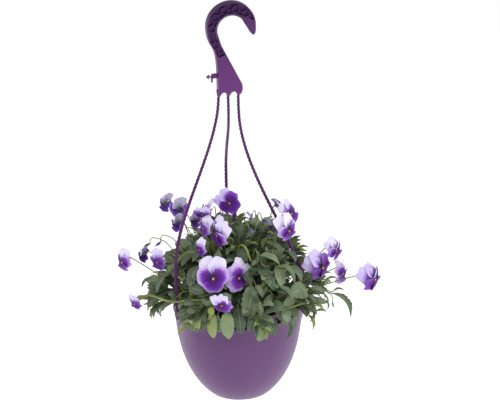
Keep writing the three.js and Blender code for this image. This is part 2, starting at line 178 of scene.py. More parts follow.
# ---- Pot ----------------------------------------------------------------------------------------
# One glossy polypropylene moulding: a bowl with a flat foot, a softly flared rim, and three lugs that
# rise from the rim, each with a window for a strand's foot.
MM = 0.001
RIM_Z = -461 * MM
POT_HEIGHT = 139 * MM
BASE_Z = RIM_Z - POT_HEIGHT
RIM_RADIUS = 99 * MM
BOWL_RADIUS = 96 * MM
BOWL_DEPTH = 154 * MM
BOWL_FULLNESS = 2.1
FLARE_HEIGHT = 17 * MM
POT_WALL = 2.4 * MM
LUG_AZIMUTHS = {"right": 74, "left": -53, "back": 187}  # degrees from the front, towards +X
LUG_RISE = 24 * MM
LUG_REACH = 12 * MM
LUG_HALF_ANGLE = 19
LUG_ROOT = 30 * MM
WINDOW_DROP = 10.8 * MM  # from a lug's top to its window's middle
WINDOW_SIZE = (6.6 * MM, 30 * MM, 14.5 * MM)
POT_SIDES = 120


def bowl_radius(radius, height):
    """The radius of a bowl's side at a height above the pot's base."""
    fall = ((POT_HEIGHT - height) / BOWL_DEPTH) ** BOWL_FULLNESS
    return radius * (1 - fall) ** (1 / BOWL_FULLNESS)


def smooth(value, start, stop):
    """Eases from 0 at start to 1 at stop."""
    t = min(max((value - start) / (stop - start), 0), 1)
    return t * t * (3 - 2 * t)


def polar(azimuth, radius, z):
    """The point at an azimuth in degrees from the front, a distance from the pot's axis and a height."""
    turn = math.radians(azimuth)
    return Vector((radius * math.sin(turn), -radius * math.cos(turn), z))


def turned_shell(name, profile, sides):
    """A shell drawn up ring by ring from a round floor: the profile is [radius, height] pairs."""
    radius, z = profile[0]
    piece = primitive(
        bpy.ops.mesh.primitive_circle_add, vertices=sides, radius=radius, fill_type="TRIFAN", location=(0, 0, z)
    )
    piece.name = name
    bpy.ops.object.mode_set(mode="EDIT")
    bpy.ops.mesh.select_mode(type="EDGE")
    bpy.ops.mesh.select_all(action="SELECT")
    bpy.ops.mesh.region_to_loop()
    for next_radius, next_z in profile[1:]:
        bpy.ops.mesh.extrude_region_move(TRANSFORM_OT_translate={"value": (0, 0, next_z - z)})
        ratio = next_radius / radius
        bpy.ops.transform.resize(value=(ratio, ratio, 1), center_override=(0, 0, next_z))
        radius, z = next_radius, next_z
    bpy.ops.mesh.select_all(action="SELECT")
    bpy.ops.mesh.normals_make_consistent(inside=False)
    bpy.ops.object.mode_set(mode="OBJECT")
    return piece


def apply_modifier(piece, kind, **settings):
    """Adds a modifier with these settings and applies it."""
    select_only(piece)
    modifier = piece.modifiers.new(kind.lower(), kind)
    for name, value in settings.items():
        setattr(modifier, name, value)
    bpy.ops.object.modifier_apply(modifier=modifier.name)


def cut(piece, tool, operation="DIFFERENCE"):
    """Cuts, joins or crosses a piece with another one, which is used up."""
    apply_modifier(piece, "BOOLEAN", object=tool, operation=operation, solver="EXACT")
    bpy.data.objects.remove(tool)


def raise_lugs(piece):
    """Draws the wall out and up where the lugs stand."""
    for vertex in piece.data.vertices:
        x, y, z = vertex.co
        azimuth = math.degrees(math.atan2(x, -y))
        off = min(abs((azimuth - lug + 540) % 360 - 180) for lug in LUG_AZIMUTHS.values())
        top = smooth(z, RIM_Z - LUG_ROOT, RIM_Z)
        share = (1 - smooth(off, LUG_HALF_ANGLE * 0.3, LUG_HALF_ANGLE)) * top
        outward = 1 + LUG_REACH * share / max(math.hypot(x, y), MM)
        vertex.co = (x * outward, y * outward, z + LUG_RISE * share)


def smooth_shade(piece, degrees=40):
    """Smooth shading across all edges but the sharp ones."""
    select_only(piece)
    bpy.ops.object.shade_smooth_by_angle(angle=math.radians(degrees))


pot_profile = [(bowl_radius(BOWL_RADIUS, 0) - 2 * MM, BASE_Z)]
pot_profile += [
    (bowl_radius(BOWL_RADIUS, height * MM), BASE_Z + height * MM)
    for height in (0.7, 2.2, 5, 9, 14, 21, 30, 41, 54, 69, 86, 103, 116)
]
flare_start = pot_profile[-1][0]
pot_profile += [
    (flare_start + (RIM_RADIUS - flare_start) * share**1.3, RIM_Z - FLARE_HEIGHT * (1 - share))
    for share in (0.25, 0.5, 0.75, 0.92, 1)
]
pot = turned_shell("pot_shell", pot_profile, POT_SIDES)
raise_lugs(pot)
apply_modifier(pot, "SOLIDIFY", thickness=POT_WALL, offset=-1, use_quality_normals=True)
for azimuth in LUG_AZIMUTHS.values():
    window = primitive(
        bpy.ops.mesh.primitive_cube_add,
        size=1,
        location=polar(azimuth, RIM_RADIUS + LUG_REACH / 2, RIM_Z + LUG_RISE - WINDOW_DROP),
        rotation=(0, 0, math.radians(azimuth)),
        scale=WINDOW_SIZE,
    )
    cut(pot, window)
apply_modifier(pot, "BEVEL", width=0.7 * MM, segments=3, limit_method="ANGLE", angle_limit=math.radians(40))
smooth_shade(pot)


def maths(tree, operation, *values, clamp=False):
    """A Math node's result; each value is a number or another node's output."""
    made = add_node(tree, "Math", operation=operation, use_clamp=clamp)
    for i, value in enumerate(values):
        if isinstance(value, (int, float)):
            made.inputs[i].default_value = value
        else:
            tree.links.new(value, made.inputs[i])
    return made.outputs[0]


def object_place(tree):
    """The Object coordinates."""
    return add_node(tree, "TexCoord").outputs["Object"]


def noise(tree, scale, detail=2, roughness=0.5):
    """A noise over the Object coordinates."""
    place = object_place(tree)
    return add_node(tree, "TexNoise", Vector=place, Scale=scale, Detail=detail, Roughness=roughness).outputs["Fac"]


def bumped(tree, height, strength, distance, invert=False):
    """A normal that follows a height."""
    bump = add_node(tree, "Bump", Height=height, Strength=strength, Distance=distance, invert=invert)
    return bump.outputs["Normal"]


def new_group(name, inputs, outputs):
    """A node group with these inputs, as names with usual values, and outputs, as names with types."""
    group = bpy.data.node_groups.new(name, "ShaderNodeTree")
    for socket, value in inputs.items():
        kind = "NodeSocketColor" if isinstance(value, tuple) else "NodeSocketFloat"
        group.interface.new_socket(socket, in_out="INPUT", socket_type=kind).default_value = value
    for socket, kind in outputs.items():
        group.interface.new_socket(socket, in_out="OUTPUT", socket_type=kind)
    return group, group.nodes.new("NodeGroupInput").outputs, group.nodes.new("NodeGroupOutput")


def grain_group():
    """The fine surface of a moulding: a faint mottle, a satin variation and a very shallow orange peel."""
    group, given, result = new_group(
        "moulded_skin",
        {"Color": (0.5, 0.5, 0.5, 1), "Mottle": 0.1, "Roughness": 0.35, "Grain Depth": 0.1},
        {"Color": "NodeSocketColor", "Roughness": "NodeSocketFloat", "Normal": "NodeSocketVector"},
    )
    shift = maths(group, "SUBTRACT", noise(group, 28, 3), 0.5)
    amount = maths(group, "MULTIPLY_ADD", shift, given["Mottle"], 1)
    tone = add_node(group, "VectorMath", operation="SCALE", Scale=amount)
    group.links.new(given["Color"], tone.inputs[0])
    satin = maths(group, "MULTIPLY_ADD", noise(group, 90), 0.12, given["Roughness"])
    peel = bumped(group, noise(group, 1400, 1), given["Grain Depth"], 0.0002)
    feed(group, result, Color=tone.outputs[0], Roughness=satin, Normal=peel)
    return group


moulded_skin = grain_group()


def moulded_plastic(name, colour, mottle, roughness, grain_depth, **sockets):
    """A moulded plastic finish on the shared skin."""
    material, tree, shader = new_material(name, roughness, **sockets)
    skin = add_node(tree, "Group", node_tree=moulded_skin, Color=colour, Mottle=mottle, Grain_Depth=grain_depth)
    finish = feed(tree, skin, Roughness=roughness).outputs
    feed(tree, shader, Base_Color=finish["Color"], Roughness=finish["Roughness"], Normal=finish["Normal"])
    return material


pot_plastic = moulded_plastic("pot_plastic", srgb(94, 58, 107), 0.12, 0.34, 0.12, Specular_IOR_Level=0.32)
pot.data.materials.append(pot_plastic)
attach(pot, "root")
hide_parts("pot")

# ---- Liner --------------------------------------------------------------------------------------
# The grow liner that the violas came in: a darker purple moulding with a turned-out lip, and drain
# holes in its floor, standing inside the pot.
LINER_RADIUS = 89 * MM
LINER_LIP_RADIUS = 93.5 * MM
LINER_RISE = 14 * MM
LINER_WALL = 1.8 * MM
LINER_FLOOR_Z = BASE_Z + POT_WALL + 0.3 * MM

lip_z = RIM_Z + LINER_RISE
liner_profile = [(bowl_radius(LINER_RADIUS, 4 * MM) - 1.5 * MM, LINER_FLOOR_Z)]
liner_profile += [
    (bowl_radius(LINER_RADIUS, height * MM), BASE_Z + height * MM) for height in (14, 30, 54, 88, 115, 139)
]
liner_profile += [
    (LINER_RADIUS + 0.8 * MM, lip_z - 4 * MM),
    (LINER_LIP_RADIUS - 0.4 * MM, lip_z - 3.2 * MM),
    (LINER_LIP_RADIUS, lip_z - 1.6 * MM),
    (LINER_LIP_RADIUS - 0.4 * MM, lip_z - 0.4 * MM),
    (LINER_RADIUS + 1.2 * MM, lip_z),
]
liner = turned_shell("grow_liner", liner_profile, 96)
apply_modifier(liner, "SOLIDIFY", thickness=LINER_WALL * 0.8, offset=-1, use_quality_normals=True)
for i in range(5):
    drill = primitive(
        bpy.ops.mesh.primitive_cylinder_add,
        vertices=24, radius=5 * MM, depth=12 * MM, location=polar(72 * i, 26 * MM, LINER_FLOOR_Z),
    )
    cut(liner, drill)
smooth_shade(liner)
liner_plastic = moulded_plastic("liner_plastic", srgb(104, 52, 112), 0.15, 0.26, 0.1)
liner.data.materials.append(liner_plastic)
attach(liner, "root")
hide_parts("liner")

# ---- Soil ---------------------------------------------------------------------------------------
# Peat-based potting soil and root ball, crumbly on top, with a few pale grains in it.
SOIL_Z = lip_z - 15 * MM
soil_profile = [(bowl_radius(LINER_RADIUS, 4 * MM) - 3.7 * MM, LINER_FLOOR_Z + LINER_WALL + 0.3 * MM)]
soil_profile += [
    (bowl_radius(LINER_RADIUS, height * MM) - 2.4 * MM, BASE_Z + height * MM) for height in (14, 30, 54, 88, 115)
]
soil_profile += [(bowl_radius(LINER_RADIUS, POT_HEIGHT) - 2.4 * MM, SOIL_Z)]
top_radius = soil_profile[-1][0]
soil_profile += [(top_radius * share, SOIL_Z) for share in (0.94, 0.86, 0.76, 0.65, 0.53, 0.41, 0.29, 0.17, 0.06)]
soil = turned_shell("potting_soil", soil_profile, 72)
select_only(soil)
bpy.ops.object.mode_set(mode="EDIT")
bpy.ops.mesh.select_all(action="SELECT")
bpy.ops.mesh.fill_holes(sides=0)
bpy.ops.mesh.normals_make_consistent(inside=False)
bpy.ops.object.mode_set(mode="OBJECT")
crumble = random.Random(11)
for vertex in soil.data.vertices:
    if vertex.co.z > SOIL_Z - 1 * MM:
        vertex.co.z += crumble.uniform(-3.5, 0.5) * MM
smooth_shade(soil, 60)


def colour_ramp(tree, factor, *stops):
    """A colour picked along (position, colour) stops."""
    ramp = add_node(tree, "ValToRGB", Fac=factor)
    elements = ramp.color_ramp.elements
    while len(elements) < len(stops):
        elements.new(0.5)
    for element, (position, colour) in zip(elements, stops):
        element.position = position
        element.color = colour
    return ramp.outputs["Color"]


soil_stuff, tree, shader = new_material("potting_soil", 0.95)
crumbs = add_node(tree, "TexVoronoi", Vector=object_place(tree), Scale=420).outputs
soil_colour = colour_ramp(tree, crumbs["Color"], (0.0, srgb(30, 22, 16)), (1.0, srgb(92, 74, 56)))
feed(tree, shader, Base_Color=soil_colour, Normal=bumped(tree, crumbs["Distance"], 0.9, 0.002))
soil.data.materials.append(soil_stuff)
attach(soil, "root")
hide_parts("soil")

# ---- Hanger head --------------------------------------------------------------------------------
# The flat hook of the hanger: flanges round honeycomb pockets on its bend, a plain triangular
# shoulder below with arches between the strands, and a barbed peg at its side for a plant label.
HOOK_DEPTH = 12 * MM
HOOK_TURN = math.radians(15)
FLANGE = 2.0 * MM
POCKET_DEPTH = 4.4 * MM
SHOULDER_BOTTOM = -122  # this and what follows in millimetres, in the hook's own plane
STRAND_TOPS = {"left": -21.6, "back": -7.2, "right": 8.4}  # across the shoulder
ARCH_RADIUS = 5.2
SEAT_RADIUS = 21.5
SEAT_CHAMFER = 3.2
RING_RADIUS = 6.4
WEB = 1.1


def arc(x, y, radius, start, stop, steps):
    """Points on an arc, in millimetres and degrees."""
    turns = [math.radians(start + (stop - start) * i / steps) for i in range(steps + 1)]
    return [(x + radius * math.cos(turn), y + radius * math.sin(turn)) for turn in turns]


def bezier(points, steps):
    """Points on a cubic Bezier curve, without its first."""
    a, b, c, d = (Vector(p) for p in points)
    curve = []
    for i in range(1, steps + 1):
        t = i / steps
        curve.append(tuple(a * (1 - t) ** 3 + b * 3 * t * (1 - t) ** 2 + c * 3 * t * t * (1 - t) + d * t**3))
    return curve


def hook_outline(inset):
    """The hook's outline in its own plane, in millimetres, taken in all round by inset."""
    left = -22.9 + inset
    outline = [(left, SHOULDER_BOTTOM + inset), (left, -88)]
    outline += bezier([(left, -88), (left, -67), (-25 + inset, -54), (-31 + inset, -45)], 8)
    outline += bezier([(-31 + inset, -45), (-35.5 + inset, -37), (-38 + inset, -28), (-38 + inset, -15.8)], 8)
    outline += arc(-0.7, -15.8, 37.3 - inset, 180, 0, 44)[1:]
    outline += bezier([(36.6 - inset, -15.8), (36.9 - inset, -25), (36.2 - inset, -32.2), (31.8, -32.2 + inset)], 8)
    outline += [(29.6 + inset * 0.4, -30 + inset)]
    outline += arc(0, -SEAT_RADIUS, SEAT_RADIUS + inset * 2.1, 23, 195, 36)
    outline += [(-16.8 - inset, -43), (13.9 - inset, -107)]
    right = 14.4 - inset
    outline += [(right, SHOULDER_BOTTOM + 7), (11.6 - inset * 0.5, SHOULDER_BOTTOM + inset)]
    return outline


def plate(name, outline, depth, middle=0.0):
    """A flat plate of this outline in millimetres, its thickness in metres, standing across Z."""
    shape = bpy.data.meshes.new(name)
    shape.from_pydata([(x * MM, y * MM, middle - depth / 2) for x, y in outline], [], [range(len(outline))])
    piece = new_object(name, shape)
    select_only(piece)
    bpy.ops.object.mode_set(mode="EDIT")
    bpy.ops.mesh.select_all(action="SELECT")
    bpy.ops.mesh.extrude_region_move(TRANSFORM_OT_translate={"value": (0, 0, depth)})
    bpy.ops.mesh.select_all(action="SELECT")
    bpy.ops.mesh.normals_make_consistent(inside=False)
    bpy.ops.object.mode_set(mode="OBJECT")
    return piece


def hexagon(x, y, radius, turn):
    """The corners of a hexagon, in millimetres, turned by an angle in radians."""
    turns = [turn + k * math.pi / 3 for k in range(6)]
    return [(x + radius * math.cos(corner), y + radius * math.sin(corner)) for corner in turns]


def web(start, stop):
    """A thin plate along the web from one point to another, in millimetres."""
    wide = (Vector(stop) - Vector(start)).orthogonal().normalized() * WEB / 2
    corners = ((start, wide), (start, -wide), (stop, -wide), (stop, wide))
    return plate("web", [tuple(Vector(end) + way) for end, way in corners], 0.03)


hook = plate("hanger_head", hook_outline(0), HOOK_DEPTH)
for first, second in (("left", "back"), ("back", "right")):
    x = (STRAND_TOPS[first] + STRAND_TOPS[second]) / 2
    arch = arc(x, SHOULDER_BOTTOM - 0.5, ARCH_RADIUS, 0, 180, 16) + [(x - ARCH_RADIUS, -140), (x + ARCH_RADIUS, -140)]
    cut(hook, plate("arch", arch, 0.04))
select_only(hook)
bpy.ops.object.mode_set(mode="EDIT")
bpy.ops.mesh.select_mode(type="EDGE")
bpy.ops.mesh.select_all(action="DESELECT")
bpy.ops.object.mode_set(mode="OBJECT")
for edge in hook.data.edges:
    ends = [hook.data.vertices[i].co for i in edge.vertices]
    on_seat = all(abs(math.hypot(p.x, p.y + SEAT_RADIUS * MM) - SEAT_RADIUS * MM) < 0.2 * MM for p in ends)
    edge.select = on_seat and abs(ends[0].z - ends[1].z) < 0.1 * MM
bpy.ops.object.mode_set(mode="EDIT")
bpy.ops.mesh.bevel(offset=SEAT_CHAMFER * MM, segments=1)
bpy.ops.object.mode_set(mode="OBJECT")
apply_modifier(hook, "BEVEL", width=1.0 * MM, segments=3, limit_method="ANGLE", angle_limit=math.radians(50))

cell_centres = [
    (29.6 * math.cos(math.radians(angle)) - 0.4, 29.6 * math.sin(math.radians(angle)) - 18.6)
    for angle in (42, 76, 110, 144, 178)
] + [(-25.5, -43)]
NECK_WEBS = [((-23.6, -47.5), (-20.5, -55.5)), ((-20.5, -55.5), (-8, -54.5)), ((-20.5, -55.5), (-24.5, -68))]
bend_region = [(-0.7, -15.8), (23, -2), (31, -9)] + arc(-0.7, -15.8, 41.3, 12, 200, 30) + [(-31, -65), (-8, -58)]
for side in (1, -1):
    lift = side * (HOOK_DEPTH / 2 - POCKET_DEPTH / 2 + MM)
    hollow = plate("pocket", hook_outline(FLANGE / MM), POCKET_DEPTH + 2 * MM, lift)
    cut(hollow, plate("bend", bend_region, 0.03), "INTERSECT")
    for i, (x, y) in enumerate(cell_centres):
        last = cell_centres[max(i - 1, 0)]
        following = cell_centres[min(i + 1, len(cell_centres) - 1)]
        along = math.atan2(following[1] - last[1], following[0] - last[0])
        ring = plate("ring", hexagon(x, y, RING_RADIUS, along), 0.03)
        cut(ring, plate("ring_hole", hexagon(x, y, RING_RADIUS - WEB, along), 0.04))
        cut(hollow, ring)
        if following != (x, y):
            over = (Vector(following) - Vector((x, y))).normalized() * (RING_RADIUS - WEB * 0.6)
            cut(hollow, web(Vector((x, y)) + over, Vector(following) - over))
    for start, stop in NECK_WEBS:
        cut(hollow, web(start, stop))
    cut(hook, hollow)

PEG_DEPTH = 3.4 * MM
peg_outlines = [
    [(-31.5, -94.8), (-22, -94.8), (-22, -87.8), (-31.5, -87.8)],
    [(-32.5, -100.8), (-30.1, -100.8), (-30.1, -89.8), (-32.5, -89.8)],
    [(-37.5, -92.8), (-30.5, -92.8), (-30.5, -91.4), (-37.5, -91.4)],
    [(-40, -92.1), (-35.1, -96), (-36.1, -92.1), (-35.1, -88.2)],
]
for outline in peg_outlines:
    peg = plate("label_peg", outline, PEG_DEPTH)
    apply_modifier(peg, "BEVEL", width=0.35 * MM, segments=2, limit_method="ANGLE")
    cut(hook, peg, "UNION")
for x in STRAND_TOPS.values():
    boss = primitive(
        bpy.ops.mesh.primitive_cone_add,
        vertices=24, radius1=2.5 * MM, radius2=3.4 * MM, depth=9 * MM,
        location=(x * MM, (SHOULDER_BOTTOM + 3.6) * MM, 0), rotation=(-math.pi / 2, 0, 0),
    )
    cut(hook, boss, "UNION")
hook.data.transform(Matrix.Rotation(HOOK_TURN, 4, "Z") @ Matrix.Rotation(math.pi / 2, 4, "X"))
smooth_shade(hook, 35)
hanger_plastic = moulded_plastic("hanger_plastic", srgb(84, 30, 96), 0.18, 0.36, 0.16, Specular_IOR_Level=0.35)
# Painted shade: the hook gets its own copy of the hanger's plastic. Its colour darkens from the shoulder up to the
# top of the bend, standing in for the dark reflection that the hook shows at its top.
hook_plastic_painted_shade = hanger_plastic.copy()
hook_plastic_painted_shade.name = "hook_plastic_painted_shade"
tree = hook_plastic_painted_shade.node_tree
height = add_node(tree, "SeparateXYZ", Vector=object_place(tree)).outputs["Z"]
top_shade_share = add_node(tree, "MapRange", Value=height, From_Min=SHOULDER_BOTTOM * MM, From_Max=20 * MM).outputs[0]
# The painted shade ramp: lighter purple at the shoulder, darker at the top.
painted_top_shade = colour_ramp(tree, top_shade_share, (0.0, srgb(94, 36, 108)), (1.0, srgb(60, 22, 78)))
feed(tree, next(node for node in tree.nodes if node.type == "GROUP"), Color=painted_top_shade)
hook.data.materials.append(hook_plastic_painted_shade)
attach(hook, "root")
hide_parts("hook")

# ---- Strands ------------------------------------------------------------------------------------
# Three cable-twisted rods of the same moulding that hang from the shoulder, swing out to the pot, and
# end in arrow-shaped feet outside the lugs, held by headed pins through the windows.
STRAND_RADIUS = 2.6 * MM
STRAND_LAY = 19 * MM  # one turn of the twist
STRAND_SWING = {"left": (-0.01, 0.79), "right": (0.08, 1.15), "back": (0.07, 0.52)}  # shares of the drop
PLY_OFFSET = 0.58  # shares of the strand's radius
PLY_RADIUS = 0.47
FOOT_REACH = RIM_RADIUS + LUG_REACH + 3.6 * MM
FOOT_TIP_Z = RIM_Z + 5.7 * MM
FOOT_OUTLINE = [(0, 0), (3.6, 6), (4.4, 11.5), (2.4, 13), (2.4, 19), (-2.4, 19), (-2.4, 13), (-4.4, 11.5), (-3.6, 6)]


def strand_points(side):
    """A strand's route: down from the shoulder and out to the outer face of its lug."""
    along = STRAND_TOPS[side] * MM
    top = Vector((along * math.cos(HOOK_TURN), along * math.sin(HOOK_TURN), SHOULDER_BOTTOM * MM - 0.3 * MM))
    foot = polar(LUG_AZIMUTHS[side], FOOT_REACH, FOOT_TIP_Z + 15 * MM)
    start, stop = STRAND_SWING[side]
    points = []
    for i in range(14):
        drop = i / 13
        point = top.lerp(foot, smooth(drop, start, stop) / smooth(1, start, stop))
        point.z = top.z + (foot.z - top.z) * drop
        points.append(point)
    return points


def smooth_route(points, step):
    """The points of a smooth curve through these points, about a step apart."""
    route = []
    for i in range(len(points) - 1):
        a, b = points[max(i - 1, 0)], points[i]
        c, d = points[i + 1], points[min(i + 2, len(points) - 1)]
        count = max(1, round((c - b).length / step))
        for k in range(count):
            t = k / count
            route.append(
                0.5 * (2 * b + (c - a) * t + (2 * a - 5 * b + 4 * c - d) * t * t + (3 * b - a - 3 * c + d) * t**3)
            )
    return route + [points[-1]]


def tubes(name, routes, sides=2):
    """Round tubes with closed ends along routes of (point, radius) pairs, as one mesh."""
    path = bpy.data.curves.new(name, "CURVE")
    path.dimensions = "3D"
    path.bevel_depth = 1
    path.bevel_resolution = sides
    path.use_fill_caps = True
    for route in routes:
        spline = path.splines.new("POLY")
        spline.points.add(len(route) - 1)
        for point, (place, radius) in zip(spline.points, route):
            point.co = (*place, 1)
            point.radius = radius
    select_only(new_object(name, path))
    bpy.ops.object.convert(target="MESH")
    return bpy.context.active_object


def twisted_rod(name, points):
    """A rod of three plies laid round each other, a little stouter towards its foot."""
    route = smooth_route(points, STRAND_LAY / 14)
    plies = []
    for ply in range(3):
        travelled = 0
        helix = []
        for i, place in enumerate(route):
            ahead = route[min(i + 1, len(route) - 1)] - route[max(i - 1, 0)]
            side = ahead.cross(Vector((1, 0.3, 0))).normalized()
            other = ahead.cross(side).normalized()
            if i:
                travelled += (place - route[i - 1]).length
            turn = 2 * math.pi * (travelled / STRAND_LAY + ply / 3)
            radius = STRAND_RADIUS * (0.84 + 0.2 * i / len(route))
            offset = (side * math.cos(turn) + other * math.sin(turn)) * radius * PLY_OFFSET
            helix.append((place + offset, radius * PLY_RADIUS))
        plies.append(helix)
    return tubes(name, plies, 2)


for side, azimuth in LUG_AZIMUTHS.items():
    strand = twisted_rod(f"strand_{side}_twist", strand_points(side))
    foot = plate("foot", FOOT_OUTLINE, 3.4 * MM)
    apply_modifier(foot, "BEVEL", width=0.7 * MM, segments=3, limit_method="ANGLE")
    for size, place in (((3, 3, 10), (0, 9.5, -5)), ((5.4, 6, 2), (0, 9.5, -10.8))):
        pin = primitive(bpy.ops.mesh.primitive_cube_add, size=1, location=Vector(place) * MM, scale=Vector(size) * MM)
        apply_modifier(pin, "BEVEL", width=0.5 * MM, segments=2, limit_method="ANGLE")
        cut(foot, pin, "UNION")
    stand = Matrix.Rotation(math.radians(azimuth), 4, "Z") @ Matrix.Rotation(math.pi / 2, 4, "X")
    foot.data.transform(Matrix.Translation(polar(azimuth, FOOT_REACH, FOOT_TIP_Z)) @ stand)
    joined(strand, foot)
    smooth_shade(strand, 50)
    strand.data.materials.clear()
    strand.data.materials.append(hanger_plastic)
    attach(strand, "root")
    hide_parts(f"strand_{side}")

# ---- Leaves -------------------------------------------------------------------------------------
# Viola leaves: matt, broad to narrow blades with blunt teeth, a pale sunk midrib and slightly rolled
# edges. Each kind is modelled once, lying along +Y with its upper face up, and copied.
LEAF_KINDS = {  # name: (half width, where it is widest, depth of teeth, arch, fold, wave)
    "broad": (0.50, 0.46, 0.13, 0.12, 0.10, 0.020),
    "ovate": (0.50, 0.50, 0.12, 0.16, 0.18, 0.024),
    "narrow": (0.50, 0.48, 0.14, 0.18, 0.30, 0.012),
}
LEAF_THICKNESS = 0.45 * MM
PLAIN_ROWS = 8  # of a leaf that is one of hundreds
FINE_ROWS = 15  # of a leaf that lies on top


def leaf_kind(name, rows, half_width, widest, teeth, arch, fold, wave):
    """A leaf blade 1 long and 1 wide, its edge toothed on every second row."""
    blade = primitive(bpy.ops.mesh.primitive_grid_add, x_subdivisions=4, y_subdivisions=rows, size=1)
    blade.name = f"leaf_{name}"
    power = math.log(0.5) / math.log(widest)
    for vertex in blade.data.vertices:
        across = vertex.co.x * 2
        along = vertex.co.y + 0.5
        row = round(along * rows)
        share = min(along, 1) ** power
        width = half_width * (1 - abs(2 * share - 1) ** 2.3) ** 0.8 + 0.02 * (1 - along)
        if abs(across) > 0.9 and row % 2 and 0 < row < rows:
            width *= 1 - teeth
        lift = arch * math.sin(math.pi * along) + fold * width * abs(across)
        lift += wave * math.sin(along * 15 + across * 2.5) * abs(across)
        vertex.co = (across * width, along, lift)
    return blade


def copy_of(template, place, tone, *materials):
    """A copy of a template with a mesh of its own, at its place, with a tone from 0 to 1."""
    copy = new_object(template.name, template.data.copy())
    copy.data.transform(place)
    tones = copy.data.attributes.new("tone", "FLOAT", "POINT")
    tones.data.foreach_set("value", [tone] * len(copy.data.vertices))
    copy.data.materials.clear()
    for material in materials:
        copy.data.materials.append(material)
    return copy


def lying(origin, direction, upward, length, width):
    """The place of a blade that grows from origin along direction, its upper face towards upward."""
    y = direction.normalized()
    x = y.cross(upward).normalized()
    z = x.cross(y)
    turn = Matrix((x * width, y * length, z * length)).transposed().to_4x4()
    return Matrix.Translation(origin) @ turn


def mix_colours(tree, factor, first, second):
    """A colour between two, each a colour or another node's output."""
    mix = add_node(tree, "Mix", data_type="RGBA")
    for socket, value in ((mix.inputs[0], factor), (mix.inputs[6], first), (mix.inputs[7], second)):
        if isinstance(value, (int, float, tuple)):
            socket.default_value = value
        else:
            tree.links.new(value, socket)
    return mix.outputs[2]


def across_and_along(tree):
    """The two directions of the UV map."""
    split = add_node(tree, "SeparateXYZ", Vector=add_node(tree, "UVMap").outputs["UV"])
    return split.outputs["X"], split.outputs["Y"]


def leaf_group():
    """What a leaf's UV map and tone say: its veins, and its tone with blotches in it."""
    outputs = {name: "NodeSocketFloat" for name in ("Veins", "Tone")}
    group, _, result = new_group("leaf_veins", {}, outputs)
    across, along = across_and_along(group)
    aside = maths(group, "ABSOLUTE", maths(group, "SUBTRACT", across, 0.5))
    midrib = maths(group, "SUBTRACT", 1, maths(group, "MULTIPLY", aside, 18), clamp=True)
    slant = maths(group, "SUBTRACT", along, maths(group, "MULTIPLY", aside, 0.5))
    ripple = maths(group, "ABSOLUTE", maths(group, "SINE", maths(group, "MULTIPLY", slant, 19)))
    side_vein = maths(group, "SUBTRACT", 1, maths(group, "MULTIPLY", ripple, 6), clamp=True)
    veins = maths(group, "MAXIMUM", midrib, maths(group, "MULTIPLY", side_vein, 0.4))
    own_tone = add_node(group, "Attribute", attribute_name="tone").outputs["Fac"]
    blotches = maths(group, "MULTIPLY_ADD", noise(group, 70, 4, 0.6), 0.5, -0.25)
    feed(group, result, Veins=veins, Tone=maths(group, "ADD", own_tone, blotches, clamp=True))
    return group


leaf_veins = leaf_group()


def plant_material(name, roughness, **sockets):
    """A material with the faint inner glow of a thin blade or petal."""
    return new_material(name, roughness, Subsurface_Scale=0.001, **sockets)


def leaf_material(name, roughness, vein_colour, depth, *tones):
    """The finish of a leaf's face: the tones, from deep to young, crossed by its veins."""
    material, tree, shader = plant_material(name, roughness, Subsurface_Weight=0.06, Specular_IOR_Level=0.35)
    marks = add_node(tree, "Group", node_tree=leaf_veins).outputs
    blade = colour_ramp(tree, marks["Tone"], *tones)
    colour = mix_colours(tree, maths(tree, "MULTIPLY", marks["Veins"], 0.75), blade, vein_colour)
    feed(tree, shader, Base_Color=colour, Normal=bumped(tree, marks["Veins"], depth, 0.0007, invert=True))
    return material


# The deep end of the top's tone ramp is partly painted shade: it is darkened so that the gaps deep in the foliage
# read dark.
leaf_top = leaf_material(
    "leaf_top", 0.5, srgb(146, 160, 128), 0.5,
    (0.0, srgb(42, 52, 40)), (0.4, srgb(90, 106, 82)), (0.7, srgb(132, 150, 114)), (1.0, srgb(148, 162, 82)),
)
leaf_underside = leaf_material(
    "leaf_underside", 0.6, srgb(150, 166, 128), -0.4,
    (0.0, srgb(66, 78, 58)), (0.5, srgb(112, 128, 98)), (1.0, srgb(150, 166, 100)),
)

stem_green, tree, shader = plant_material("stem_green", 0.45, Subsurface_Weight=0.1)
blush = noise(tree, 45, 3)
stem_tones = ((0.25, srgb(88, 102, 48)), (0.55, srgb(126, 142, 66)), (0.8, srgb(154, 164, 88)))
feed(tree, shader, Base_Color=colour_ramp(tree, blush, *stem_tones), Normal=bumped(tree, blush, 0.3, 0.0003))


def joined_plant(name, leaves, stems, slot, *stood_for):
    """Leaves, given their thickness, and green stems as one piece."""
    plant = joined(*leaves)
    apply_modifier(plant, "SOLIDIFY", thickness=LEAF_THICKNESS, offset=-1, material_offset=1, material_offset_rim=1)
    stalks = tubes(name, stems, 1)
    stalks.data.materials.append(stem_green)
    joined(plant, stalks)
    plant.name = name
    smooth_shade(plant, 75)
    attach(plant, "root")
    if stood_for:
        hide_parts(*stood_for)
    return plant


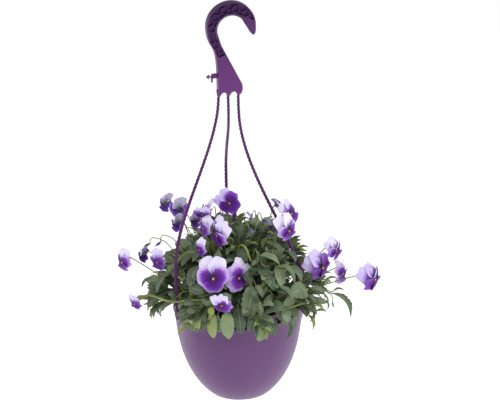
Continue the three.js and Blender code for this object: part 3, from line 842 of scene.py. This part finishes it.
# ---- Shoots -------------------------------------------------------------------------------------
# Leafy shoots: a stem that rises from the soil and leans out, with leaves on short stalks all round
# it, larger and darker below, and small, bright ones at the tip.
SHOOT_RINGS = [  # how many, root and tip distance from the axis, tip height above the rim
    (8, 70 * MM, 140 * MM, 12 * MM),
    (6, 46 * MM, 92 * MM, 66 * MM),
    (4, 20 * MM, 34 * MM, 98 * MM),
]
YOUNG_LEAF_MIX = ["narrow", "ovate"]
OLD_LEAF_MIX = ["broad", "broad", "ovate", "ovate", "narrow"]
WIDTH_TO_LENGTH = {"broad": 0.62, "ovate": 0.46, "narrow": 0.26}
LEAVES_ON_SHOOT = 33
LEAVES_ON_FRONT_SHOOT = 15  # where the outer leaves lie on top
FRONT_HALF_ANGLE = 64
WALL_CLEARANCE = (84 * MM, RIM_RADIUS + 7 * MM)  # no leaf passes through the walls between these radii
GOLDEN_TURN = 137.5  # degrees from one leaf to the next round a stem
STEM_RADIUS = 1.5 * MM
MOUND_CENTRE = Vector((0, 0, RIM_Z - 10 * MM))
UP = Vector((0, 0, 1))
growth = random.Random(4)


def node_root(node):
    """Where a CAD stem stands in the soil: the middle of its lowest end."""
    low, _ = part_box(node)
    end = [v.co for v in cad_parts[node].data.vertices if v.co.z < low.z + 3.2 * MM]
    return sum(end, Vector()) / len(end)


def bent(a, b, c, t):
    """A point on the smooth curve from a through b, at about 0.4 of the way, to c."""
    control = (b - a * 0.36 - c * 0.16) / 0.48
    return a * (1 - t) ** 2 + control * 2 * t * (1 - t) + c * t * t


strand_lines = [smooth_route(strand_points(side), 6 * MM) for side in LUG_AZIMUTHS]
for azimuth in LUG_AZIMUTHS.values():
    strand_lines.append([polar(azimuth, FOOT_REACH + out * MM, FOOT_TIP_Z + 6 * MM) for out in (0, 8, 16)])


def has_room(foot, tip, gap):
    """Whether a blade from foot to tip stays clear of the strands and of the pot's and liner's walls."""
    points = [foot.lerp(tip, share) for share in (0, 0.5, 0.9)]
    if any((point - other).length < gap for line in strand_lines for other in line for point in points):
        return False
    lip = RIM_Z + LINER_RISE + 2 * MM
    inside, outside = WALL_CLEARANCE
    return not any(p.z < lip and inside < math.hypot(p.x, p.y) < outside for p in points)


plain_leaves = {name: leaf_kind(name, PLAIN_ROWS, *shape) for name, shape in LEAF_KINDS.items()}
shoot_number = 0
for count, root_reach, tip_reach, tip_height in SHOOT_RINGS:
    for _ in range(count):
        shoot_number += 1
        node = f"shoot_{shoot_number:02d}"
        root = node_root(node)
        azimuth = math.degrees(math.atan2(root.x, -root.y))
        middle = polar(azimuth, root_reach + (tip_reach - root_reach) * 0.3, RIM_Z + 16 * MM + tip_height * 0.65)
        tip = polar(azimuth, tip_reach * 0.92, RIM_Z + tip_height)
        stems = [[(bent(root, middle, tip, i / 8), STEM_RADIUS * (1 - 0.05 * i)) for i in range(9)]]
        leaves = []
        in_front = root_reach == SHOOT_RINGS[0][1] and abs(azimuth) < FRONT_HALF_ANGLE
        leaf_count = LEAVES_ON_FRONT_SHOOT if in_front else LEAVES_ON_SHOOT
        for i in range(leaf_count):
            share = (i + 0.5) / leaf_count
            t = 0.15 + 0.85 * share
            base = bent(root, middle, tip, t)
            ahead = (bent(root, middle, tip, t + 0.02) - bent(root, middle, tip, t - 0.02)).normalized()
            aside = ahead.cross(UP).normalized()
            over = aside.cross(ahead)
            turn = math.radians(GOLDEN_TURN * i + 40 * shoot_number)
            for _ in range(9):
                around = aside * math.cos(turn) + over * math.sin(turn)
                outward = (base - MOUND_CENTRE).normalized()
                stalk_way = (ahead * 0.35 + around + outward * 0.5 + UP * 0.2).normalized()
                foot = base + stalk_way * growth.uniform(8, 24) * MM * (1.15 - 0.7 * share)
                sag = growth.uniform(0.0, 0.8) * (1 - 0.5 * share)
                way = (stalk_way * 0.8 + outward * 0.4 - UP * sag).normalized()
                length = growth.uniform(26, 44) * MM * (1.15 - 0.62 * share)
                if has_room(foot, foot + way * length, 8 * MM):
                    break
                turn += math.radians(41)
            else:
                continue
            young = share > 0.78
            kind = growth.choice(YOUNG_LEAF_MIX if young else OLD_LEAF_MIX)
            ratio = WIDTH_TO_LENGTH[kind] * growth.uniform(0.85, 1.15)
            tone = growth.uniform(0.75, 1.0) if young else growth.uniform(0.1, 0.72)
            face = ((foot - MOUND_CENTRE).normalized() * 0.8 + UP * 0.6).normalized()
            place = lying(foot, way, face, length, length * ratio)
            leaves.append(copy_of(plain_leaves[kind], place, tone, leaf_top, leaf_underside))
            bow = (base + foot) / 2 + UP * 1.5 * MM
            stems.append([(base, 0.9 * MM), (bow, 0.75 * MM), (foot + way * length * 0.04, 0.55 * MM)])
        joined_plant(f"leafy_{node}", leaves, stems, "foliage", node)

# ---- Inner leaves -------------------------------------------------------------------------------
# The older leaves that fill the mound below its surface, darker partly for their age and partly as painted shade of
# the mound's inside, and small young ones among them.
INNER_LEAVES = 210
YOUNG_EVERY = 4  # one leaf in so many is young, and stands higher
MOUND_RADIUS = 84 * MM
MOUND_FOOT = 14  # the mound's foot above the rim, and its height, in millimetres
MOUND_HEIGHT = 92
inner, stems = [], []
for i in range(INNER_LEAVES):
    share = (i + 0.5) / INNER_LEAVES
    azimuth = GOLDEN_TURN * i
    rise = math.asin(share)
    young = i % YOUNG_EVERY == 0
    outward = polar(azimuth, math.cos(rise), math.sin(rise))
    shell = growth.uniform(0.98, 1.16) if young else growth.uniform(0.66, 0.98)
    foot = outward * MOUND_RADIUS * shell
    foot.z = RIM_Z + (MOUND_FOOT + MOUND_HEIGHT * outward.z * shell) * MM
    aside = polar(azimuth + 90, 1, 0)
    over = aside.cross(outward)
    turn = growth.uniform(0, 2 * math.pi)
    lean = 0.7 if young else 0.25
    way = (outward * lean + aside * math.cos(turn) + over * math.sin(turn) * 0.8 - UP * 0.15).normalized()
    length = growth.uniform(9, 18) * MM if young else growth.uniform(26, 42) * MM
    if not has_room(foot, foot + way * length, 7 * MM):
        continue
    kind = "ovate" if young else growth.choice(["broad", "ovate"])
    # Older inner leaves take the low, dark tones: partly their own colour, partly painted shade of the mound's
    # inside.
    tone = growth.uniform(0.55, 0.95) if young else growth.uniform(0.0, 0.45)
    place = lying(foot, way, outward + UP * 0.3, length, length * growth.uniform(0.48, 0.68))
    inner.append(copy_of(plain_leaves[kind], place, tone, leaf_top, leaf_underside))
    low = polar(azimuth + 25, 36 * MM * math.cos(rise) + 6 * MM, SOIL_Z - 2 * MM)
    bow = low.lerp(foot, 0.6) + outward * 4 * MM
    stems.append([(low, 0.9 * MM), (bow, 0.8 * MM), (foot, 0.6 * MM), (foot + way * length * 0.05, 0.5 * MM)])
joined_plant("inner_leaves", inner, stems, "foliage")
for blade in plain_leaves.values():
    bpy.data.objects.remove(blade)

# ---- Outer leaves -------------------------------------------------------------------------------
# The largest leaves, which lie on top of the mound and hang over the rim on long stalks of their own.
OUTER_LEAVES = [  # kind, foot and tip as [azimuth, reach, height above the rim], width to length, tone
    ("broad", (14, 86, 66), (7, 109, 15), 0.46, 0.5),
    ("ovate", (17, 92, 68), (21, 104, 51), 0.42, 0.55),
    ("ovate", (18, 103, 47), (17, 113, 20), 0.27, 0.7),
    ("broad", (23, 112, 22), (14, 119, -12), 0.55, 0.62),
    ("broad", (-9, 106, 33), (-7, 119, -6), 0.53, 0.72),
    ("broad", (-20, 111, 33), (-18, 120, -6), 0.42, 0.88),
    ("ovate", (-16, 110, 29), (-14, 115, 2), 0.4, 0.45),
    ("broad", (-28, 106, 44), (-36, 131, 29), 0.5, 0.42),
    ("ovate", (-26, 115, 31), (-25, 122, 14), 0.6, 0.4),
    ("ovate", (-30, 118, 26), (-30, 123, 9), 0.55, 0.35),
    ("ovate", (-20, 115, 43), (-19, 120, 31), 0.8, 1.0),
    ("broad", (-6, 101, 50), (-13, 101, 60), 0.7, 0.55),
    ("ovate", (-24, 105, 41), (-29, 112, 52), 0.5, 0.75),
    ("broad", (25, 77, 89), (29, 112, 63), 0.45, 0.42),
    ("broad", (40, 93, 88), (35, 113, 66), 0.6, 0.55),
    ("ovate", (28, 68, 103), (39, 101, 97), 0.35, 0.6),
    ("narrow", (42, 94, 92), (44, 123, 68), 0.24, 0.6),
    ("ovate", (52, 97, 87), (50, 125, 68), 0.42, 0.42),
    ("broad", (54, 128, 53), (38, 125, 57), 0.8, 0.48),
    ("broad", (62, 126, 48), (63, 144, 46), 0.7, 0.5),
    ("narrow", (34, 111, 66), (39, 131, 48), 0.3, 0.55),
    ("broad", (34, 120, 33), (34, 132, 15), 0.75, 0.55),
    ("narrow", (36, 130, 14), (32, 133, -10), 0.3, 0.35),
    ("ovate", (38, 127, 18), (38, 135, 3), 0.5, 0.45),
    ("narrow", (59, 129, 18), (56, 129, -1), 0.3, 0.25),
    ("ovate", (73, 137, 22), (72, 141, 6), 0.42, 0.35),
    ("narrow", (78, 144, 28), (77, 174, -9), 0.17, 0.4),
    ("narrow", (80, 146, 28), (79, 163, 32), 0.24, 0.45),
    ("broad", (84, 97, 74), (80, 114, 57), 0.6, 0.2),
    ("broad", (-63, 67, 103), (-62, 95, 83), 0.62, 0.3),
    ("broad", (-41, 87, 92), (-40, 110, 65), 0.62, 0.25),
    ("broad", (-42, 108, 64), (-27, 108, 59), 0.6, 0.32),
    ("broad", (-52, 116, 45), (-53, 130, 53), 0.8, 0.42),
    ("broad", (-68, 118, 40), (-68, 147, 22), 0.68, 0.28),
    ("broad", (-69, 111, 72), (-67, 132, 44), 0.5, 0.32),
    ("narrow", (-77, 130, 59), (-77, 148, 45), 0.26, 0.45),
    ("narrow", (-66, 123, 22), (-67, 138, 4), 0.2, 0.4),
    ("narrow", (-66, 125, 17), (-66, 126, 4), 0.3, 0.38),
    ("ovate", (-59, 116, 30), (-61, 134, 20), 0.4, 0.45),
    ("ovate", (-84, 92, 91), (-83, 111, 88), 0.4, 0.3),
    ("narrow", (-37, 125, 27), (-35, 129, 7), 0.36, 0.38),
    ("broad", (-1, 40, 109), (14, 62, 94), 0.55, 0.3),
    ("broad", (-17, 46, 99), (-1, 62, 85), 0.5, 0.3),
    ("broad", (8, 67, 83), (14, 87, 65), 0.5, 0.35),
    ("broad", (46, 121, 47), (34, 119, 37), 0.5, 0.5),
    ("ovate", (30, 103, 53), (20, 106, 36), 0.4, 0.35),
    ("narrow", (54, 119, 41), (57, 139, 31), 0.3, 0.5),
    ("ovate", (-42, 113, 45), (-44, 128, 34), 0.45, 0.5),
    ("broad", (-49, 61, 107), (-50, 87, 94), 0.5, 0.22),
    ("ovate", (58, 56, 111), (56, 80, 102), 0.5, 0.4),
    ("ovate", (67, 77, 99), (62, 100, 86), 0.45, 0.35),
    ("ovate", (36, 30, 110), (3, 36, 100), 0.5, 0.4),
    ("broad", (-45, 90, 36), (-47, 120, 6), 0.52, 0.4),
    ("ovate", (-37, 94, 34), (-35, 119, -3), 0.5, 0.55),
    ("broad", (-29, 88, 38), (-24, 115, 5), 0.5, 0.42),
    ("broad", (0, 90, 32), (2, 115, 0), 0.5, 0.38),
    ("ovate", (13, 92, 34), (15, 118, -4), 0.5, 0.5),
    ("broad", (35, 92, 34), (37, 119, 2), 0.5, 0.45),
    ("ovate", (43, 94, 32), (48, 119, 5), 0.46, 0.5),
]
STALK_RADIUS = 0.8 * MM
THICK_STEM_RADIUS = 1.6 * MM
THICK_STEMS = [  # [azimuth, reach, height above the rim] along each bare, young stem
    [(-12, 60, 8), (-28, 104, 46), (-49, 130, 43), (-65, 144, 44), (-73, 158, 34), (-75, 164, 28)],
    [(30, 60, 6), (34, 88, 24), (46, 108, 38), (58, 124, 50)],
    [(24, 66, 2), (30, 96, 22), (42, 116, 30), (52, 136, 38)],
    [(-40, 40, 60), (-52, 66, 96), (-60, 88, 104), (-64, 104, 84)],
    [(0, 30, 80), (4, 44, 112), (12, 62, 118), (16, 76, 100)],
]


def above_rim(azimuth, reach, height):
    """The point at an azimuth, and at millimetres from the pot's axis and above its rim."""
    return polar(azimuth, reach * MM, RIM_Z + height * MM)


fine_leaves = {name: leaf_kind(name, FINE_ROWS, *shape) for name, shape in LEAF_KINDS.items()}
leaves, stems = [], []
for kind, foot_at, tip_at, ratio, tone in OUTER_LEAVES:
    foot, tip = above_rim(*foot_at), above_rim(*tip_at)
    length = (tip - foot).length
    outward = ((foot + tip) / 2 - MOUND_CENTRE).normalized()
    place = lying(foot, tip - foot, outward + UP * 0.25, length, length * ratio)
    leaves.append(copy_of(fine_leaves[kind], place, tone, leaf_top, leaf_underside))
    origin = polar(foot_at[0], min(foot_at[1] * 0.5, 60) * MM, RIM_Z + 8 * MM)
    bow = origin.lerp(foot, 0.6)
    bow.z = max(bow.z, foot.z, RIM_Z + 22 * MM) + 2 * MM
    route = smooth_route([origin, bow, foot, foot.lerp(tip, 0.05)], 5 * MM)
    stems.append([(place, STALK_RADIUS) for place in route])
for stem in THICK_STEMS:
    route = smooth_route([above_rim(*point) for point in stem], 6 * MM)
    stems.append([(place, THICK_STEM_RADIUS) for place in route])
joined_plant("outer_leaves", leaves, stems, "foliage")
for blade in fine_leaves.values():
    bpy.data.objects.remove(blade)

# ---- Flowers ------------------------------------------------------------------------------------
# Horned violas: two pale upper petals behind, two side petals and a broad lower one with a deep
# violet heart, an orange eye, a green calyx with a spur behind, on a thin stalk with a crook.
FLOWERS = [  # place [azimuth, reach, height above the rim], facing [azimuth, elevation], width, roll, reflex
    ((-83, 174, 83), (-50, -8), 34, 8, 18),
    ((-98, 144, 78), (-128, -12), 26, -20, 20),
    ((-72, 126, 89), (-35, -22), 32, 14, 20),
    ((-74, 162, 24), (-45, -30), 26, 0, 10),
    ((-115, 120, 148), (-128, -25), 27, 16, 38),
    ((-109, 92, 147), (-150, -30), 32, 0, 34),
    ((-97, 91, 131), (-132, -25), 26, 0, 30),
    ((-115, 70, 128), (-125, -15), 28, 0, 24),
    ((-90, 42, 153), (-84, -14), 34, 24, 24),
    ((-165, 76, 104), (-170, 0), 38, 0, 14),
    ((-42, 15, 170), (8, 6), 35, 48, 10),
    ((-176, 34, 134), (70, -5), 22, 0, 20),
    ((-51, 63, 142), (-58, -10), 32, -12, 24),
    ((-26, 64, 137), (-64, -22), 46, -26, 30),
    ((-40, 86, 118), (-58, -20), 30, 0, 26),
    ((-19, 109, 87), (-4, 6), 49, 5, 14),
    ((2, 80, 77), (36, 2), 46, -52, 8),
    ((-11, 124, 51), (-24, -22), 34, 6, -12),
    ((150, 48, 122), (100, -5), 22, 0, 20),
    ((123, 80, 142), (125, 5), 24, 0, 20),
    ((110, 58, 121), (-160, 0), 26, 0, 20),
    ((94, 83, 144), (56, 12), 36, 10, 20),
    ((60, 91, 137), (44, -15), 40, 14, 24),
    ((96, 151, 78), (58, -20), 36, 24, 34),
    ((80, 130, 67), (56, -14), 46, 50, 30),
    ((94, 160, 43), (52, -8), 34, -34, 30),
    ((87, 207, 41), (64, -14), 44, 38, 30),
    ((148, 118, 66), (150, 0), 44, -12, 12),
    ((192, 128, 46), (185, -10), 48, 8, 10),
    ((-146, 126, 56), (-140, 0), 44, 0, 14),
    ((-55, 61, 162), (-14, -48), 27, -8, 6),
]
PETAL_KINDS = {  # name: (length, half width, cup, ruffle, notch), for a flower 1 wide
    "upper": (0.66, 0.29, 0.10, 0.045, 0.03),
    "side": (0.50, 0.30, 0.09, 0.040, 0.05),
    "lower": (0.52, 0.34, 0.11, 0.045, 0.08),
}


def petal_kind(name, length, half_width, cup, ruffle, notch):
    """A petal along +Y from the flower's throat, its face up."""
    petal = primitive(bpy.ops.mesh.primitive_grid_add, x_subdivisions=8, y_subdivisions=8, size=1)
    petal.name = f"petal_{name}"
    for vertex in petal.data.vertices:
        across = vertex.co.x * 2
        along = vertex.co.y + 0.5
        swell = 0.14 + 0.86 * math.sin(math.pi / 2 * min(along / 0.66, 1)) ** 1.4
        dome = math.sqrt(max(0.0, 1 - across * across)) ** 0.8
        reach = length * (along * (0.62 + 0.38 * dome) - notch * max(0.0, 1 - abs(across) * 2.6) * along**5)
        taper = 1 - 0.10 * max(0.0, along - 0.7) / 0.3
        lift = cup * along * (1 - along) * 1.8 - 0.10 * along**3 + 0.05 * across * across * along
        lift += ruffle * math.sin(across * 5.5 + 1) * along**3
        vertex.co = (across * half_width * swell * taper, reach, lift)
    return petal


def calyx_kind():
    """The green back of a flower: a small cup, a spur and five pointed sepals, for a flower 1 wide."""
    cone = bpy.ops.mesh.primitive_cone_add
    cup = primitive(cone, vertices=8, radius1=0.05, radius2=0.085, depth=0.12, location=(0, 0.01, -0.10))
    spur_at = {"location": (0, 0.05, -0.2), "rotation": (math.pi - 0.35, 0, 0)}
    parts = [cup, primitive(cone, vertices=8, radius1=0.05, radius2=0.028, depth=0.2, **spur_at)]
    lean = Matrix.Rotation(math.radians(-72), 4, "X") @ Matrix.Diagonal((1.1, 0.35, 1, 1))
    for i in range(5):
        sepal = primitive(cone, vertices=4, radius1=0.06, radius2=0, depth=0.34, location=(0, 0, 0.17))
        shape = Matrix.Translation((0, 0.02, -0.08)) @ Matrix.Rotation(math.radians(72 * i), 4, "Z")
        sepal.data.transform(shape @ lean)
        parts.append(sepal)
    return joined(*parts)


petal_kinds = {name: petal_kind(name, *shape) for name, shape in PETAL_KINDS.items()}
calyx = calyx_kind()


def petal_group():
    """A petal's markings from its UV map and tone: the rim beyond its heart, its veins and its throat."""
    inputs = {"Heart": 0.5, "Blur": 0.3}
    outputs = {name: "NodeSocketFloat" for name in ("Rim", "Veins", "Tone", "Throat")}
    group, given, result = new_group("petal_marks", inputs, outputs)
    across, along = across_and_along(group)
    tone = add_node(group, "Attribute", attribute_name="tone").outputs["Fac"]
    aside = maths(group, "ABSOLUTE", maths(group, "SUBTRACT", across, 0.5))
    lengthwise = add_node(
        group, "CombineXYZ",
        X=maths(group, "MULTIPLY", across, 26),
        Y=maths(group, "MULTIPLY", along, 1.6),
        Z=maths(group, "MULTIPLY", tone, 40),
    )
    streaks = add_node(group, "TexNoise", Vector=lengthwise.outputs[0], Scale=1, Detail=2).outputs["Fac"]
    reach = maths(group, "ADD", along, maths(group, "MULTIPLY", maths(group, "POWER", aside, 2), 1.2))
    reach = maths(group, "ADD", reach, maths(group, "MULTIPLY_ADD", streaks, 0.4, -0.2))
    heart = maths(group, "ADD", given["Heart"], maths(group, "MULTIPLY_ADD", tone, 0.3, -0.15))
    rim = maths(group, "DIVIDE", maths(group, "SUBTRACT", reach, heart), given["Blur"], clamp=True)
    throat = maths(group, "SUBTRACT", 1, maths(group, "MULTIPLY", along, 3.2), clamp=True)
    feed(group, result, Rim=rim, Veins=streaks, Tone=tone, Throat=throat)
    return group


petal_marks = petal_group()
PETAL_COLOURS = {  # face and back: heart, blur, then the heart, the middle, a pale and a deep rim, the throat
    "upper": (
        (0.10, 0.6, (140, 88, 200), (190, 160, 232), (238, 232, 250), (204, 188, 240), (70, 20, 124)),
        (0.2, 0.7, (176, 160, 222), (214, 208, 242), (240, 238, 250), (220, 214, 244), (150, 150, 168)),
    ),
    "side": (
        (0.46, 0.56, (74, 6, 114), (122, 48, 176), (212, 190, 240), (136, 76, 196), (40, 2, 70)),
        (0.5, 0.6, (86, 30, 140), (126, 76, 186), (190, 172, 232), (116, 60, 182), (74, 60, 100)),
    ),
    "lower": (
        (0.48, 0.60, (76, 6, 118), (124, 50, 180), (206, 180, 238), (132, 72, 194), (40, 2, 70)),
        (0.5, 0.6, (80, 24, 130), (112, 54, 174), (168, 140, 222), (104, 48, 172), (74, 60, 100)),
    ),
}


def petal_material(name, heart, blur, *colours):
    """A petal's finish: its heart's colour gives way to the rim's along ragged veins."""
    heart_colour, middle_colour, pale_rim, deep_rim, throat_colour = (srgb(*colour) for colour in colours)
    material, tree, shader = plant_material(name, 0.55, Subsurface_Weight=0.1, Specular_IOR_Level=0.3)
    marks = add_node(tree, "Group", node_tree=petal_marks, Heart=heart, Blur=blur).outputs
    rim = mix_colours(tree, marks["Tone"], pale_rim, deep_rim)
    inner = colour_ramp(tree, marks["Rim"], (0.0, heart_colour), (0.6, middle_colour))
    outer_share = maths(tree, "MULTIPLY_ADD", marks["Rim"], 2.2, -1.2, clamp=True)
    blend = mix_colours(tree, outer_share, inner, rim)
    petal = mix_colours(tree, marks["Throat"], blend, throat_colour)
    feed(tree, shader, Base_Color=petal, Normal=bumped(tree, marks["Veins"], 0.4, 0.0005))
    return material


PETAL_FINISH = {
    kind: (petal_material(f"{kind}_petal", *face), petal_material(f"{kind}_petal_back", *back))
    for kind, (face, back) in PETAL_COLOURS.items()
}
PETAL_PLACES = [  # kind, turn from upright, share of the flower's reflex, how far forward
    ("upper", 24, 1.0, -0.045),
    ("upper", -25, 0.9, -0.034),
    ("side", 80, 0.2, 0.004),
    ("side", -80, 0.2, 0.010),
    ("lower", 180, -0.3, 0.012),
]

eye_orange, tree, shader = new_material("eye_orange", 0.5)
feed(tree, shader, Base_Color=mix_colours(tree, noise(tree, 900), srgb(240, 178, 64), srgb(214, 104, 34)))


def heading(azimuth, elevation):
    """A unit vector at an azimuth and an elevation above the horizon, in degrees."""
    rise = math.radians(elevation)
    return polar(azimuth, math.cos(rise), math.sin(rise))


def facing_along(face):
    """The turn that takes a flower's +Z to where it faces, and keeps its +Y as near upright as it can."""
    across = UP.cross(face).normalized()
    return Matrix((across, face.cross(across), face)).transposed().to_4x4()


LONG_STALK_REACH = 145  # a flower that stands out further has a nearly straight stalk
LONG_STALK_BOW = 0.03
bloom = random.Random(7)
for number, ((azimuth, reach, height), (turn, lift), size, roll, reflex) in enumerate(FLOWERS, 1):
    node = f"flower_{number:02d}"
    face = heading(turn, lift)
    width = size * MM
    throat = above_rim(azimuth, reach, height)
    facing = Matrix.Translation(throat) @ facing_along(face) @ Matrix.Rotation(math.radians(roll), 4, "Z")
    tone = bloom.uniform(0, 1)
    petals = []
    for kind, around, share, forward in PETAL_PLACES:
        spread = math.radians(around + bloom.uniform(-6, 6))
        tilt = math.radians(-share * reflex + bloom.uniform(-7, 7))
        own = (
            facing
            @ Matrix.Translation((0, 0, forward * width))
            @ Matrix.Rotation(spread, 4, "Z")
            @ Matrix.Rotation(tilt, 4, "X")
            @ Matrix.Scale(width * bloom.uniform(0.93, 1.07), 4)
        )
        petals.append(copy_of(petal_kinds[kind], own, tone, *PETAL_FINISH[kind]))
        apply_modifier(petals[-1], "SOLIDIFY", thickness=0.35 * MM, offset=-1, material_offset=1)
    green = copy_of(calyx, facing @ Matrix.Scale(12 * MM + width * 0.4, 4), 0.3 + 0.3 * tone, leaf_top)
    eye = primitive(bpy.ops.mesh.primitive_uv_sphere_add, segments=10, ring_count=6, radius=1)
    eye_shape = Matrix.Diagonal((0.042 * width, 0.05 * width, 0.03 * width, 1))
    eye.data.transform(facing @ Matrix.Translation((0, -0.03 * width, 0.02 * width)) @ eye_shape)
    eye.data.materials.append(eye_orange)
    root = node_root(node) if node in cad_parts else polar(azimuth, reach * 0.5 * MM, SOIL_Z)
    crook = throat - face * 11 * MM + UP * 5 * MM
    bow = LONG_STALK_BOW if reach > LONG_STALK_REACH else 0.16
    middle = root.lerp(crook, 0.55) + UP * bow * (crook - root).length
    route = smooth_route([root, middle, crook, throat - face * 5 * MM, throat - face * 2 * MM], 6 * MM)
    stalk = tubes("stalk", [[(place, STALK_RADIUS) for place in route]], 1)
    stalk.data.materials.append(stem_green)
    flower = joined(*petals, green, eye, stalk)
    flower.name = f"viola_{number:02d}"
    smooth_shade(flower, 70)
    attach(flower, "root")
    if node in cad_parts:
        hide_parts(node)

# ---- Buds ---------------------------------------------------------------------------------------
# Closed buds that nod from thin stalks among the flowers: the petals rolled into a point, held by the
# green sepals.
BUDS = [  # place [azimuth, reach, height above the rim], facing [azimuth, elevation], length
    ((-80, 117, 112), (-70, -30), 13),
    ((-88, 132, 104), (-100, -20), 11),
    ((-32, 59, 139), (20, -40), 12),
    ((33, 36, 135), (60, -35), 12),
    ((64, 45, 145), (80, -30), 13),
    ((47, 139, 45), (50, -35), 11),
    ((67, 154, 23), (70, -70), 10),
    ((-62, 85, 92), (-40, -50), 12),
    ((160, 90, 110), (150, -30), 12),
    ((-140, 88, 105), (-150, -35), 12),
    ((205, 60, 128), (215, -25), 12),
]
BUD_LENGTH = 0.7  # of a bud's size
YOUNG_BUD = 12  # a shorter bud is still green
rolled_petals = primitive(
    bpy.ops.mesh.primitive_cone_add, vertices=8, radius1=0.16, radius2=0.03, depth=BUD_LENGTH, location=(0, 0, 0.35)
)
bpy.ops.object.mode_set(mode="EDIT")
bpy.ops.mesh.select_all(action="SELECT")
bpy.ops.mesh.subdivide(number_cuts=2)
bpy.ops.object.mode_set(mode="OBJECT")
for vertex in rolled_petals.data.vertices:
    swell = 1 + 0.5 * math.sin(math.pi * min(vertex.co.z / BUD_LENGTH, 1))
    vertex.co = (vertex.co.x * swell, vertex.co.y * swell, vertex.co.z)
bud_parts, bud_stalks = [], []
for (azimuth, reach, height), (turn, lift), size in BUDS:
    tip = above_rim(azimuth, reach, height)
    face = heading(turn, lift)
    place = Matrix.Translation(tip) @ facing_along(face) @ Matrix.Scale(size * MM, 4)
    skin = leaf_underside if size < YOUNG_BUD else PETAL_FINISH["lower"][1]
    bud_parts.append(copy_of(rolled_petals, place, bloom.random(), skin))
    bud_parts.append(copy_of(calyx, place @ Matrix.Scale(1.15, 4), 0.5, leaf_top))
    root = polar(azimuth + 12, reach * 0.4 * MM, SOIL_Z - 2 * MM)
    crook = tip - face * 6 * MM + UP * 9 * MM
    middle = root.lerp(crook, 0.6) + UP * 0.2 * (crook - root).length
    route = smooth_route([root, middle, crook, tip - face * 2 * MM], 6 * MM)
    bud_stalks.append([(point, 0.75 * MM) for point in route])
stalks = tubes("bud_stalks", bud_stalks, 1)
stalks.data.materials.append(stem_green)
buds = joined(*bud_parts, stalks)
buds.name = "viola_buds"
smooth_shade(buds, 70)
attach(buds, "root")
for pattern in (*petal_kinds.values(), calyx, rolled_petals):
    bpy.data.objects.remove(pattern)
